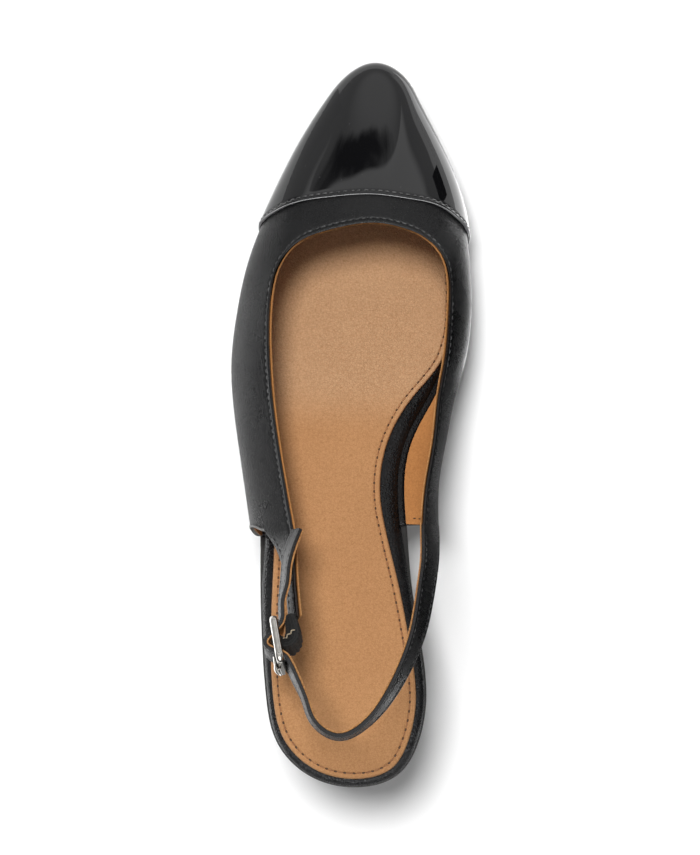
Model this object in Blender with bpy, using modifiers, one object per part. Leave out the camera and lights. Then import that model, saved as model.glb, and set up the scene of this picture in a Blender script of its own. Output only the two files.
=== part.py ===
"""Left slingback pump with a toe cap and a kitten heel, modelled from the sizes of its last.

The shoe stands on z = 0 with its toe towards +Y and its medial side towards +X. Sizes are in
millimetres until a mesh is made. A station is a distance along the shoe from the rear of the
heel seat, and a rise is a height over the underside of the sole at the same station.
"""

from math import cos, pi, radians, sin

import bmesh
import bpy
import numpy as np
from mathutils import Matrix, Vector

MM = 0.001
UP = np.array([0.0, 0.0, 1.0])
FINE_STEP = 0.5
FINE_SHARE = 0.01
MERGE = 0.01
SHARP_ANGLE = 40.0

# Driving sizes of the last
LENGTH = 254.0
BALL_WIDTH = 85.0
INSTEP = 37.0
HEEL_HEIGHT = 45.0
TOE_SPRING = 7.5

# Sizes that the tables below were drawn for
DRAWN_LENGTH = 254.0
DRAWN_BALL_WIDTH = 85.0
DRAWN_INSTEP = 37.0

# Thicknesses and clearances
GAP = 0.3
FOOT_GAP = 0.45
WALL = 1.8
CAP_THICKNESS = 0.8
OUTSOLE_THICKNESS = 2.8
FOOTBED_THICKNESS = 3.2
FOOTBED_RIM = 1.2
FOOTBED_HEEL_INSET = 0.6
FOOTBED_WALL_INSET = 2.1
SOCK_THICKNESS = 1.2
STRAP_THICKNESS = 1.8

# Side profile: the flat of the tread and the shape of the arch
TREAD_BACK = 165.0
TREAD_FRONT = 205.0
ARCH_FULLNESS = 0.85

# Sole outline, and how far the sock stops short of it on each side
SOLE_REAR = (0.0, 1.7)
SOLE_TIP = (249.7, 8.6)
SOLE = (
    # station, lateral x, medial x, lateral sock margin, medial sock margin
    (5.0, -15.2, 18.0, 3.3, 3.3),
    (16.0, -25.0, 24.5, 3.0, 3.5),
    (30.0, -28.5, 27.0, 2.7, 3.5),
    (50.0, -30.3, 25.0, 3.3, 3.7),
    (70.0, -31.3, 21.6, 4.5, 4.3),
    (90.0, -31.9, 19.8, 5.2, 7.4),
    (106.0, -33.4, 19.1, 4.8, 8.6),
    (120.0, -35.4, 22.0, 4.2, 8.2),
    (134.0, -37.4, 29.2, 3.2, 6.7),
    (148.0, -38.2, 35.0, 2.6, 3.0),
    (165.0, -36.6, 38.0, 2.4, 2.4),
    (184.0, -32.3, 37.6, 2.4, 2.4),
    (205.0, -24.2, 35.0, 2.4, 2.4),
    (225.0, -14.0, 27.0, 2.4, 2.4),
    (240.0, -4.1, 19.1, 2.4, 2.4),
    (248.0, 3.4, 13.4, 2.4, 2.4),
)
FIRST_WALL_ROW = 5

# Widest line of the upper, one row for each sole row from FIRST_WALL_ROW on
WIDEST_TIP = (253.1, 8.6, 6.0)
WIDEST = (
    # station, lateral x, medial x, height over the wall's foot
    (90.0, -34.3, 31.3, 15.0),
    (106.0, -37.0, 31.5, 16.0),
    (120.0, -39.4, 33.9, 16.5),
    (134.0, -41.5, 36.7, 16.5),
    (148.0, -42.3, 40.5, 16.5),
    (165.0, -40.6, 42.6, 16.0),
    (184.0, -36.4, 41.9, 15.5),
    (205.0, -28.0, 38.7, 14.0),
    (225.0, -18.0, 30.8, 12.0),
    (240.0, -8.5, 23.2, 9.0),
    (248.0, -1.9, 18.4, 7.0),
)

# Collar and throat line, one row for each row of WIDEST
THROAT_FRONT = (196.0, 6.5, 37.0)
COLLAR = (
    # lateral station, lateral x, lateral rise, medial station, medial x, medial rise
    (91.0, -18.8, 32.2, 91.0, 26.6, 34.5),
    (106.0, -21.8, 33.0, 105.5, 27.8, 35.0),
    (120.0, -24.4, 33.4, 120.0, 30.2, 35.0),
    (134.0, -26.5, 34.8, 134.5, 31.6, 35.5),
    (147.0, -27.7, 35.9, 148.0, 33.8, 36.5),
    (160.0, -28.2, 36.2, 162.0, 35.0, 36.7),
    (172.0, -27.5, 35.5, 174.5, 35.3, 36.0),
    (181.0, -25.2, 35.5, 184.3, 32.8, 36.0),
    (188.3, -19.4, 36.0, 190.6, 26.8, 36.3),
    (192.8, -10.0, 36.5, 194.0, 19.5, 36.7),
    (195.0, -1.0, 37.0, 195.6, 13.0, 37.0),
)

# Rounding of the wall over its widest line, at the quarters and at the toe
WALL_POWER = 2.4
QUARTER_ROUNDNESS = 0.35
QUARTER_STATION = 120.0
TOE_ROUNDNESS = 0.50
TOE_STATION = 230.0
REAR_COLUMNS = 13
TOE_COLUMNS = 10
CORNER_COLUMNS = 8
CORNER_SPACING = 1.75
TUCK_ROWS = 4
FACE_ROWS = 8
TUCK_SHARE = 0.3

# Rear edge line of the toe cap, seen from above
CAP_LINE = (
    # x, station
    (-36.7, 188.0),
    (-34.3, 192.6),
    (-31.5, 196.6),
    (-27.5, 199.5),
    (-20.9, 202.4),
    (-6.8, 204.9),
    (7.6, 205.8),
    (22.0, 204.0),
    (33.5, 200.5),
    (38.3, 196.8),
    (40.5, 194.0),
    (41.9, 189.8),
    (42.9, 185.0),
)
CAP_RUN_BACK = 7.0

# Extension tab behind the lateral quarter, from its root to its end
TAB_ROOT_SHARE = 0.38
TAB_STEPS = 2
TAB = (
    # top station, top x, top z, low station, low x, low z
    (88.5, -18.7, 56.8, 88.4, -28.4, 48.4),
    (85.0, -18.5, 59.2, 84.2, -25.6, 51.6),
    (80.0, -18.2, 62.3, 78.5, -22.9, 55.0),
    (74.0, -17.8, 66.0, 71.5, -21.2, 58.6),
    (67.5, -17.1, 70.1, 64.0, -20.2, 63.0),
    (60.8, -16.2, 74.4, 56.7, -19.2, 67.7),
)

# Sling strap: it rises in a straight line from the quarter to the back of the heel
STRAP_FRONT = (90.0, 52.0)
STRAP_BACK_STATION = 22.0
STRAP_OVER_SEAT = 49.5
STRAP_BLEND = 25.0
STRAP_STEP = 4.0
BUCKLE_BLEND = 10.0
SLING = (
    # station, x of the centre line, inward lean in degrees, width
    (79.5, 28.3, 24.0, 13.0),
    (68.0, 26.9, 26.0, 11.2),
    (55.0, 24.3, 26.0, 10.2),
    (43.8, 20.0, 23.0, 9.6),
    (33.0, 13.8, 18.0, 9.2),
    (25.6, 7.0, 13.0, 9.0),
    (22.0, -1.0, 13.0, 9.0),
    (26.4, -9.2, 12.0, 9.0),
    (34.0, -12.9, 9.0, 9.0),
    (40.0, -15.9, 5.0, 9.0),
)
TAIL = (
    # station, x of the centre line, inward lean in degrees, width, lift over the strap's line
    (63.5, -21.6, 10.0, 9.0, 1.2),
    (70.0, -20.8, 16.0, 9.0, 2.6),
    (78.0, -20.1, 17.0, 8.8, 5.4),
    (84.0, -18.7, 19.0, 8.4, 8.0),
    (89.5, -16.6, 20.0, 7.8, 10.0),
)

# Buckle on the lateral side, its centre bar across the strap
BUCKLE_STATION = 50.9
BUCKLE_X = -22.1
BUCKLE_TURN = 12.0
BUCKLE_RISE = 32.0
BUCKLE_HALF_LENGTH = 8.1
BUCKLE_HALF_HEIGHT = 6.2
BUCKLE_CORNER = 2.2
FRAME_RADIUS = 0.9
BAR_RADIUS = 0.8
PRONG_RADIUS = 0.6
PRONG_TIP = 2.8
PRONG_DROOP = 0.2
STRAP_UNDER = 2.3
STRAP_OVER = 4.3
LOOP_STEPS = 10

# Elastic between the tab and the centre bar
ELASTIC_THICKNESS = 1.6
ELASTIC_WIDTH = 8.0
ELASTIC_SLOT = 2.2
ELASTIC_START = (-7.6, -7.1)
ELASTIC_STEPS = 20

# Kitten heel: sections from the lift up to the seat
LIFT_HEIGHT = 5.0
LIFT_RIM = 0.4
HEEL_CENTRE_X = -0.5
HEEL_POINTS = 28
BREAST_FLATNESS = 0.6
HEEL = (
    # level from lift to seat, rear station, breast station, half width
    (0.00, 13.0, 30.0, 9.3),
    (0.08, 13.1, 29.6, 8.9),
    (0.20, 12.8, 29.8, 9.2),
    (0.40, 11.2, 31.8, 11.4),
    (0.60, 8.2, 35.8, 15.6),
    (0.80, 4.6, 42.0, 21.0),
    (1.00, 1.6, 50.0, 25.8),
)
SEAT_RINGS = (0.66, 0.33)


def along(station):
    """Y of a station, with the shoe's middle at zero."""
    return station * LENGTH / DRAWN_LENGTH - LENGTH / 2


def across(x):
    """X of a table's width."""
    return x * BALL_WIDTH / DRAWN_BALL_WIDTH


def lifted(rise):
    """Height of a table's rise."""
    return rise * INSTEP / DRAWN_INSTEP


def underside(y):
    """Height of the sole's underside: arch and heel seat, flat tread, toe spring."""
    back = along(TREAD_BACK)
    front = along(TREAD_FRONT)
    climb = np.clip((back - y) / (back + LENGTH / 2), 0.0, 1.0) ** ARCH_FULLNESS
    spring = np.clip((y - front) / (LENGTH / 2 - front), 0.0, 1.2)
    return HEEL_HEIGHT * (3 * climb ** 2 - 2 * climb ** 3) + TOE_SPRING * spring ** 2


def over_sole(y, distance):
    """Height of a layer that lies a distance over the underside, measured square to it."""
    slope = (underside(y + FINE_STEP) - underside(y - FINE_STEP)) / (2 * FINE_STEP)
    return underside(y) + distance * np.sqrt(1 + slope ** 2)


def spline(knots, values):
    """Natural cubic curve through rows of values at the knots."""
    knots = np.asarray(knots, float)
    values = np.asarray(values, float)
    steps = np.diff(knots)
    last = len(knots) - 1
    system = np.eye(len(knots))
    target = np.zeros_like(values)
    for i in range(1, last):
        system[i, i - 1:i + 2] = steps[i - 1], 2 * (steps[i - 1] + steps[i]), steps[i]
        target[i] = 6 * ((values[i + 1] - values[i]) / steps[i] - (values[i] - values[i - 1]) / steps[i - 1])
    bend = np.linalg.solve(system, target)

    def at(place):
        place = float(np.clip(place, knots[0], knots[-1]))
        i = int(np.clip(np.searchsorted(knots, place) - 1, 0, last - 1))
        step = steps[i]
        a = (knots[i + 1] - place) / step
        b = 1 - a
        curve = (a ** 3 - a) * bend[i] + (b ** 3 - b) * bend[i + 1]
        return a * values[i] + b * values[i + 1] + curve * step ** 2 / 6

    return at


def distances(points):
    """Running distance along a list of points."""
    steps = np.linalg.norm(np.diff(points, axis=0), axis=1)
    return np.concatenate([[0.0], np.cumsum(steps)])


def unit(vector):
    """Vector of length one."""
    return vector / np.linalg.norm(vector)


def material(name, colour, roughness, metallic=0.0):
    """Principled material of one plain finish."""
    finish = bpy.data.materials.new(name)
    finish.use_nodes = True
    shader = finish.node_tree.nodes["Principled BSDF"]
    shader.inputs["Base Color"].default_value = (*colour, 1.0)
    shader.inputs["Roughness"].default_value = roughness
    shader.inputs["Metallic"].default_value = metallic
    finish.diffuse_color = (*colour, 1.0)
    return finish


def add_object(name, mesh, finish, collection):
    """Object of a mesh, smooth shaded, in a collection."""
    mesh.shade_smooth()
    mesh.set_sharp_from_angle(angle=radians(SHARP_ANGLE))
    thing = bpy.data.objects.new(name, mesh)
    if finish:
        mesh.materials.append(finish)
    collection.objects.link(thing)
    return thing


def grid_mesh(name, grid, flip=False):
    """Open surface over a grid of points in millimetres, with doubled points merged."""
    bm = bmesh.new()
    verts = [[bm.verts.new(Vector(point) * MM) for point in row] for row in grid]
    for i in range(len(verts) - 1):
        for j in range(len(verts[i]) - 1):
            corners = [verts[i][j], verts[i + 1][j], verts[i + 1][j + 1], verts[i][j + 1]]
            bm.faces.new(corners[::-1] if flip else corners)
    bmesh.ops.remove_doubles(bm, verts=bm.verts, dist=MERGE * MM)
    mesh = bpy.data.meshes.new(name)
    bm.to_mesh(mesh)
    bm.free()
    return mesh


def thicken(thing, thickness, offset):
    """Solidify an open surface."""
    shell = thing.modifiers.new("thickness", "SOLIDIFY")
    shell.thickness = thickness * MM
    shell.offset = offset
    shell.use_even_offset = True
    shell.use_quality_normals = True
    return shell


def round_edges(thing, width, segments):
    """Bevel the sharp rims of a piece."""
    bevel = thing.modifiers.new("rounded rim", "BEVEL")
    bevel.width = width * MM
    bevel.segments = segments
    bevel.limit_method = "ANGLE"
    bevel.angle_limit = radians(50)


def solid_from_curve(curve_object, name, finish, collection):
    """Closed mesh object from a curve, with its caps welded."""
    depsgraph = bpy.context.evaluated_depsgraph_get()
    mesh = bpy.data.meshes.new_from_object(curve_object.evaluated_get(depsgraph))
    bm = bmesh.new()
    bm.from_mesh(mesh)
    bmesh.ops.remove_doubles(bm, verts=bm.verts, dist=MERGE * MM)
    bm.to_mesh(mesh)
    bm.free()
    mesh.materials.clear()
    solid = add_object(name, mesh, finish, collection)
    solid.matrix_world = curve_object.matrix_world
    bpy.data.objects.remove(curve_object)
    return solid


def tube(name, points, radius, collection, cyclic=False, finish=None):
    """Round wire along points in millimetres, as a closed mesh."""
    curve = bpy.data.curves.new(name, "CURVE")
    curve.dimensions = "3D"
    curve.bevel_depth = radius * MM
    curve.bevel_resolution = 2
    curve.use_fill_caps = True
    run = curve.splines.new("POLY")
    run.points.add(len(points) - 1)
    for place, point in zip(run.points, points):
        place.co = (*(Vector(point) * MM), 1.0)
    run.use_cyclic_u = cyclic
    wire = bpy.data.objects.new(name + "_curve", curve)
    collection.objects.link(wire)
    bpy.context.view_layer.update()
    return solid_from_curve(wire, name, finish, collection)


def as_cutter(thing):
    """Mark a helper that only shapes other pieces."""
    thing.hide_render = True
    thing.display_type = "WIRE"
    return thing


def combine(thing, other, operation):
    """Boolean modifier with a helper."""
    step = thing.modifiers.new(operation.lower(), "BOOLEAN")
    step.operation = operation
    step.object = other


class Outline:
    """Sole outline as two matched sides, from the rear point to the tip."""

    def __init__(self, per_row):
        lateral = [(along(row[0]), across(row[1])) for row in SOLE]
        medial = [(along(row[0]), across(row[2])) for row in SOLE]
        rear = (along(SOLE_REAR[0]), across(SOLE_REAR[1]))
        tip = (along(SOLE_TIP[0]), across(SOLE_TIP[1]))
        loop = [rear, *lateral, tip, *medial[::-1]]
        wrap = 4
        around = np.array(loop[-wrap:] + loop + loop[:wrap + 1])
        knots = distances(around)
        curve = spline(knots, around)
        rows = len(SOLE) + 2
        places = np.linspace(0, rows - 1, (rows - 1) * per_row + 1)
        index = np.arange(rows)
        lateral_knots = knots[wrap:wrap + rows]
        medial_knots = knots[wrap + rows - 1:wrap + 2 * rows - 1][::-1]
        self.places = places
        self.lateral = np.array([curve(np.interp(p, index, lateral_knots)) for p in places])
        self.medial = np.array([curve(np.interp(p, index, medial_knots)) for p in places])

    def inset(self, lateral_margin, medial_margin):
        """Both sides moved square to the outline by margins given for each point."""
        loop = np.vstack([self.lateral, self.medial[-2:0:-1]])
        margins = np.concatenate([lateral_margin, medial_margin[-2:0:-1]])
        tangent = np.roll(loop, -1, axis=0) - np.roll(loop, 1, axis=0)
        inward = np.column_stack([-tangent[:, 1], tangent[:, 0]])
        inward /= np.linalg.norm(inward, axis=1)[:, None]
        moved = loop + inward * margins[:, None]
        count = len(self.lateral)
        lateral = moved[:count]
        medial = np.vstack([moved[:1], moved[count:][::-1], moved[count - 1:count]])
        return lateral, medial


def plate(name, sides, distance, thickness, finish, collection, columns=4, rim=0.0):
    """Bent plate between two sides, its lower face a distance over the sole's underside."""
    lateral, medial = sides
    grid = []
    for left, right in zip(lateral, medial):
        row = []
        for share in np.linspace(0, 1, columns + 1):
            y, x = left + (right - left) * share
            row.append((x, y, over_sole(y, distance)))
        grid.append(row)
    thing = add_object(name, grid_mesh(name, grid), finish, collection)
    thicken(thing, thickness, -1.0)
    if rim:
        round_edges(thing, rim, 2)
    return thing


class UpperSurface:
    """Outer face of the upper: columns run from the foot of the wall up to the collar."""

    def __init__(self):
        foot = []
        widest = []
        collar = []
        lateral_rows = range(len(WIDEST))
        for i in lateral_rows:
            self.add_side(i, False, foot, widest, collar)
        self.add_tip(foot, widest, collar)
        for i in reversed(lateral_rows):
            self.add_side(i, True, foot, widest, collar)
        knots = distances(np.array(widest)[:, :2])
        self.length = knots[-1]
        self.tip = knots[len(WIDEST)]
        self.foot = spline(knots, foot)
        self.widest = spline(knots, widest)
        self.collar = spline(knots, collar)

    @staticmethod
    def add_side(i, medial, foot, widest, collar):
        """Three guide points of one section on one side."""
        sole = SOLE[FIRST_WALL_ROW + i]
        wide = WIDEST[i]
        station, x, rise = COLLAR[i][3:] if medial else COLLAR[i][:3]
        side = 2 if medial else 1
        y = along(sole[0])
        base = over_sole(y, OUTSOLE_THICKNESS + FOOT_GAP)
        foot.append((across(sole[side]), y, base))
        widest.append((across(wide[side]), along(wide[0]), base + lifted(wide[3])))
        collar.append((across(x), along(station), underside(along(station)) + lifted(rise)))

    @staticmethod
    def add_tip(foot, widest, collar):
        """Three guide points at the toe."""
        y = along(SOLE_TIP[0])
        base = over_sole(y, OUTSOLE_THICKNESS + FOOT_GAP)
        foot.append((across(SOLE_TIP[1]), y, base))
        station, x, rise = WIDEST_TIP
        widest.append((across(x), along(station), base + lifted(rise)))
        station, x, rise = THROAT_FRONT
        collar.append((across(x), along(station), underside(along(station)) + lifted(rise)))

    def point(self, u, v):
        """Point at a distance u round the upper and a share v of the wall's height."""
        widest = self.widest(u)
        if v <= TUCK_SHARE:
            foot = self.foot(u)
            angle = v / TUCK_SHARE * pi / 2
            reach = np.array([sin(angle), sin(angle), 1 - cos(angle)])
            return foot + (widest - foot) * reach
        collar = self.collar(u)
        angle = (v - TUCK_SHARE) / (1 - TUCK_SHARE) * pi / 2
        plan = 1 - max(cos(angle), 0.0) ** (2 / WALL_POWER)
        ends = (along(QUARTER_STATION), along(TOE_STATION))
        forward = np.clip((widest[1] - ends[0]) / (ends[1] - ends[0]), 0, 1)
        roundness = QUARTER_ROUNDNESS + (TOE_ROUNDNESS - QUARTER_ROUNDNESS) * forward
        height = roundness * sin(angle) ** (2 / WALL_POWER) + (1 - roundness) * plan
        return widest + (collar - widest) * np.array([plan, plan, height])

    def normal(self, u, v):
        """Outward direction at a point of the wall."""
        low = max(v - FINE_SHARE, 0.0)
        high = min(v + FINE_SHARE, 1.0)
        ahead = self.point(min(u + FINE_STEP, self.length), v)
        round_toe = ahead - self.point(max(u - FINE_STEP, 0), v)
        up_wall = self.point(u, high) - self.point(u, low)
        return unit(np.cross(up_wall, round_toe))

    def columns(self, cap_line):
        """Distances round the upper at which the wall is drawn, closer at the tip and the cap's ends."""
        rear = [np.linspace(0, cap_line.start, REAR_COLUMNS, endpoint=False)]
        corner = CORNER_SPACING * np.arange(CORNER_COLUMNS)
        sides = [
            np.linspace(corner[-1] + CORNER_SPACING, self.tip - cap_line.start, TOE_COLUMNS),
            np.linspace(corner[-1] + CORNER_SPACING, cap_line.end - self.tip, TOE_COLUMNS)]
        lateral = cap_line.start + np.concatenate([corner, sides[0]])
        medial = cap_line.end - np.concatenate([corner, sides[1]])
        front = np.linspace(self.length, cap_line.end, REAR_COLUMNS, endpoint=False)
        return np.unique(np.concatenate([*rear, lateral, medial, front]).round(6))

    def rows(self):
        """Shares of the wall's height at which the wall is drawn."""
        tuck = np.linspace(0, TUCK_SHARE, TUCK_ROWS + 1)
        face = np.linspace(TUCK_SHARE, 1, FACE_ROWS + 1)
        return np.concatenate([tuck, face[1:]])


def root_of(function, low, high):
    """Place between low and high where a function changes sign."""
    sign = function(low) > 0
    for _ in range(50):
        middle = (low + high) / 2
        if (function(middle) > 0) == sign:
            low = middle
        else:
            high = middle
    return (low + high) / 2


class CapLine:
    """Where the toe cap's rear edge crosses the columns of the upper."""

    def __init__(self, surface):
        table = np.array(CAP_LINE)
        self.surface = surface
        self.edge = spline(across(table[:, 0]), along(table[:, 1]))
        self.widest_start = root_of(lambda u: self.ahead(u, TUCK_SHARE), 0.0, surface.tip)
        self.widest_end = root_of(lambda u: self.ahead(u, TUCK_SHARE), surface.length, surface.tip)
        self.start = self.widest_start - CAP_RUN_BACK
        self.end = self.widest_end + CAP_RUN_BACK

    def ahead(self, u, v):
        """Distance by which a point of the wall lies in front of the line."""
        x, y, _ = self.surface.point(u, v)
        return y - self.edge(x)

    def share(self, u):
        """Share of the wall's height at which a column meets the line."""
        inside = min(u - self.widest_start, self.widest_end - u)
        if inside <= 0:
            return TUCK_SHARE * max(0.0, 1 + inside / CAP_RUN_BACK)
        return root_of(lambda v: self.ahead(u, v), TUCK_SHARE, 1.0)

    def rows(self, u):
        """Shares of the wall's height at which a column of the cap is drawn, up to the line."""
        rows = self.surface.rows()
        top = self.share(u)
        if top <= TUCK_SHARE:
            return np.minimum(rows, max(top, rows[1]))
        squeeze = (top - TUCK_SHARE) / (1 - TUCK_SHARE)
        return np.where(rows > TUCK_SHARE, TUCK_SHARE + (rows - TUCK_SHARE) * squeeze, rows)


def strip(start, tops, lows, blend):
    """Grid of a strap that leaves a curved edge and flattens within a few steps."""
    start = np.asarray(start)
    shares = distances(start) / distances(start)[-1]
    flat = start[0] + (start[-1] - start[0]) * shares[:, None]
    bow = start - flat
    run = distances(np.vstack([start[-1:], tops]))
    grid = [start]
    for top, low, distance in zip(tops, lows, run[1:]):
        keep = max(0.0, 1 - distance / blend) ** 2
        grid.append(low + (top - low) * shares[:, None] + bow * keep)
    return grid


def make_upper(surface, cap_line, finish, collection):
    """Vamp, quarters and the lateral extension tab as one wall."""
    columns = surface.columns(cap_line)
    shares = surface.rows()
    grid = [[surface.point(u, v) for v in shares] for u in columns]
    root = [surface.point(0, v) for v in shares if v > TAB_ROOT_SHARE]
    edges = [(*root[-1], *root[0])]
    for top_station, top_x, top_z, low_station, low_x, low_z in TAB:
        edges.append((across(top_x), along(top_station), top_z, across(low_x), along(low_station), low_z))
    edge_curve = spline(np.arange(len(edges)), edges)
    steps = np.arange(1, TAB_STEPS * len(TAB) + 1) / TAB_STEPS
    edges = np.array([edge_curve(step) for step in steps])
    tab = strip(root, edges[:, :3], edges[:, 3:], STRAP_BLEND)
    bm = bmesh.new()
    for part, flip in ((grid, True), (tab, False)):
        piece = grid_mesh("wall", part, flip)
        bm.from_mesh(piece)
        bpy.data.meshes.remove(piece)
    bmesh.ops.remove_doubles(bm, verts=bm.verts, dist=MERGE * MM)
    mesh = bpy.data.meshes.new("upper")
    bm.to_mesh(mesh)
    bm.free()
    upper = add_object("upper", mesh, finish, collection)
    thicken(upper, WALL, -1.0)
    return columns


def make_toe_cap(surface, cap_line, columns, finish, collection):
    """Overlay cut from the upper's own surface in front of the cap line."""
    grid = []
    for u in columns[(columns >= cap_line.start) & (columns <= cap_line.end)]:
        shares = cap_line.rows(u)[1:]
        grid.append([surface.point(u, v) + surface.normal(u, v) * GAP for v in shares])
    cap = add_object("toe_cap", grid_mesh("toe_cap", grid, True), finish, collection)
    thicken(cap, CAP_THICKNESS, 1.0)


def heel_ring(level, back, breast, half_width, size=1.0):
    """One section of the heel: round at the rear, flatter at the breast."""
    middle = (along(back) + along(breast)) / 2
    half_length = (along(breast) - along(back)) / 2
    base = LIFT_HEIGHT + GAP
    ring = []
    for step in range(HEEL_POINTS):
        angle = 2 * pi * step / HEEL_POINTS
        forward = cos(angle)
        side = sin(angle)
        power = BREAST_FLATNESS if forward > 0 else 1.0
        x = across(HEEL_CENTRE_X) + size * across(half_width) * np.sign(side) * abs(side) ** power
        y = middle + size * half_length * np.sign(forward) * abs(forward) ** power
        ring.append((x, y, base + level * (over_sole(y, -GAP) - base)))
    return ring


def loft(name, rings, finish, collection):
    """Solid through closed rings, capped at both ends."""
    bm = bmesh.new()
    loops = [[bm.verts.new(Vector(point) * MM) for point in ring] for ring in rings]
    count = len(loops[0])
    for low, high in zip(loops, loops[1:]):
        for i in range(count):
            j = (i + 1) % count
            bm.faces.new([low[i], low[j], high[j], high[i]])
    bm.faces.new(loops[0][::-1])
    bm.faces.new(loops[-1])
    bmesh.ops.recalc_face_normals(bm, faces=bm.faces)
    mesh = bpy.data.meshes.new(name)
    bm.to_mesh(mesh)
    bm.free()
    return add_object(name, mesh, finish, collection)


def make_heel(finish, lift_finish, collection):
    """Kitten heel block up to the seat, and the lift under it."""
    rings = [heel_ring(*row) for row in HEEL]
    rings += [heel_ring(*HEEL[-1], size) for size in SEAT_RINGS]
    loft("heel", rings, finish, collection)
    foot = np.array(heel_ring(*HEEL[0]))
    floor_ring = foot * (1, 1, 0)
    lift = loft("heel_top_lift", [floor_ring, floor_ring + UP * LIFT_HEIGHT], lift_finish, collection)
    round_edges(lift, LIFT_RIM, 1)


class BuckleFrame:
    """Axes of the buckle: along the strap to the rear, outward, and up across the strap."""

    def __init__(self):
        turn = radians(BUCKLE_TURN)
        rise = radians(BUCKLE_RISE)
        self.rearward = np.array([cos(rise) * sin(turn), -cos(rise) * cos(turn), sin(rise)])
        self.outward = np.array([-cos(turn), -sin(turn), 0.0])
        self.upward = np.cross(self.outward, self.rearward)
        self.centre = np.array([
            across(BUCKLE_X), along(BUCKLE_STATION), strap_height(along(BUCKLE_STATION))])

    def place(self, a, n, b=0.0):
        """Point from distances rearward, outward and upward."""
        return self.centre + self.rearward * a + self.outward * n + self.upward * b

    def matrix(self):
        """Placement of a piece drawn in the buckle's own axes, in metres."""
        axes = np.column_stack([self.rearward, self.outward, self.upward])
        return Matrix.Translation(Vector(self.centre) * MM) @ Matrix(axes.tolist()).to_4x4()


def strap_height(y):
    """Height of the sling strap's centre line."""
    front = along(STRAP_FRONT[0])
    back = along(STRAP_BACK_STATION)
    share = (front - y) / (front - back)
    return STRAP_FRONT[1] + share * (HEEL_HEIGHT + STRAP_OVER_SEAT - STRAP_FRONT[1])


def strap_path(buckle):
    """Centre line, lean and width of the strap from the quarter to its free end."""
    rows = []
    for station, x, lean, width in SLING:
        y = along(station)
        rows.append((across(x), y, strap_height(y), lean, width))
    width = SLING[-1][3]
    for step in range(LOOP_STEPS + 1):
        a = BUCKLE_HALF_LENGTH * (1 - 2 * step / LOOP_STEPS)
        swing = (1 + cos(pi * a / BUCKLE_HALF_LENGTH)) / 2
        n = -STRAP_UNDER + (STRAP_OVER + STRAP_UNDER) * swing
        rows.append((*buckle.place(a, n), 0.0, width))
    for station, x, lean, width, lift in TAIL:
        y = along(station)
        rows.append((across(x), y, strap_height(y) + lift, lean, width))
    return np.array(rows)


def make_strap(surface, buckle, finish, collection):
    """Sling strap: out of the medial quarter, round the heel, through the buckle, and its tail."""
    shares = [TUCK_SHARE, *surface.rows()[TUCK_ROWS + 2::2]]
    wall = [surface.point(surface.length, v) for v in shares]
    inward = [surface.normal(surface.length, v) * -WALL / 2 for v in shares]
    start = np.array(wall) + np.array(inward) + np.array([0.0, -2 * GAP, 0.0])
    root = start[-1] - start[0]
    root_row = (*(start[0] + root / 2), SLING[0][2], np.linalg.norm(root))
    rows = np.vstack([root_row, strap_path(buckle)])
    knots = distances(rows[:, :3])
    curve = spline(knots, rows)
    places = []
    for first, last in zip(knots, knots[1:]):
        count = max(1, round((last - first) / STRAP_STEP))
        places += list(np.linspace(first, last, count, endpoint=False))
    places.append(knots[-1])
    buckle_place = knots[1 + len(SLING) + LOOP_STEPS // 2]
    tops = []
    lows = []
    for place in places[1:]:
        centre = curve(place)
        ahead = unit(curve(place + FINE_STEP)[:3] - curve(place - FINE_STEP)[:3])
        upright = unit(UP - ahead * ahead.dot(UP))
        near_root = max(0.0, 1 - place / STRAP_BLEND)
        near_buckle = np.clip((STRAP_BLEND - abs(place - buckle_place)) / BUCKLE_BLEND, 0.0, 1.0)
        upright = unit(upright + (buckle.upward - upright) * near_buckle)
        outward = unit(np.cross(upright, ahead))
        lean = radians(centre[3])
        half = upright * cos(lean) - outward * sin(lean)
        half = unit(half + (unit(root) - half) * near_root) * centre[4] / 2
        tops.append(centre[:3] + half)
        lows.append(centre[:3] - half)
    grid = strip(start, np.array(tops), np.array(lows), STRAP_BLEND)
    strap = add_object("sling_strap", grid_mesh("sling_strap", grid), finish, collection)
    thicken(strap, STRAP_THICKNESS, 0.0)
    return strap


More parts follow.
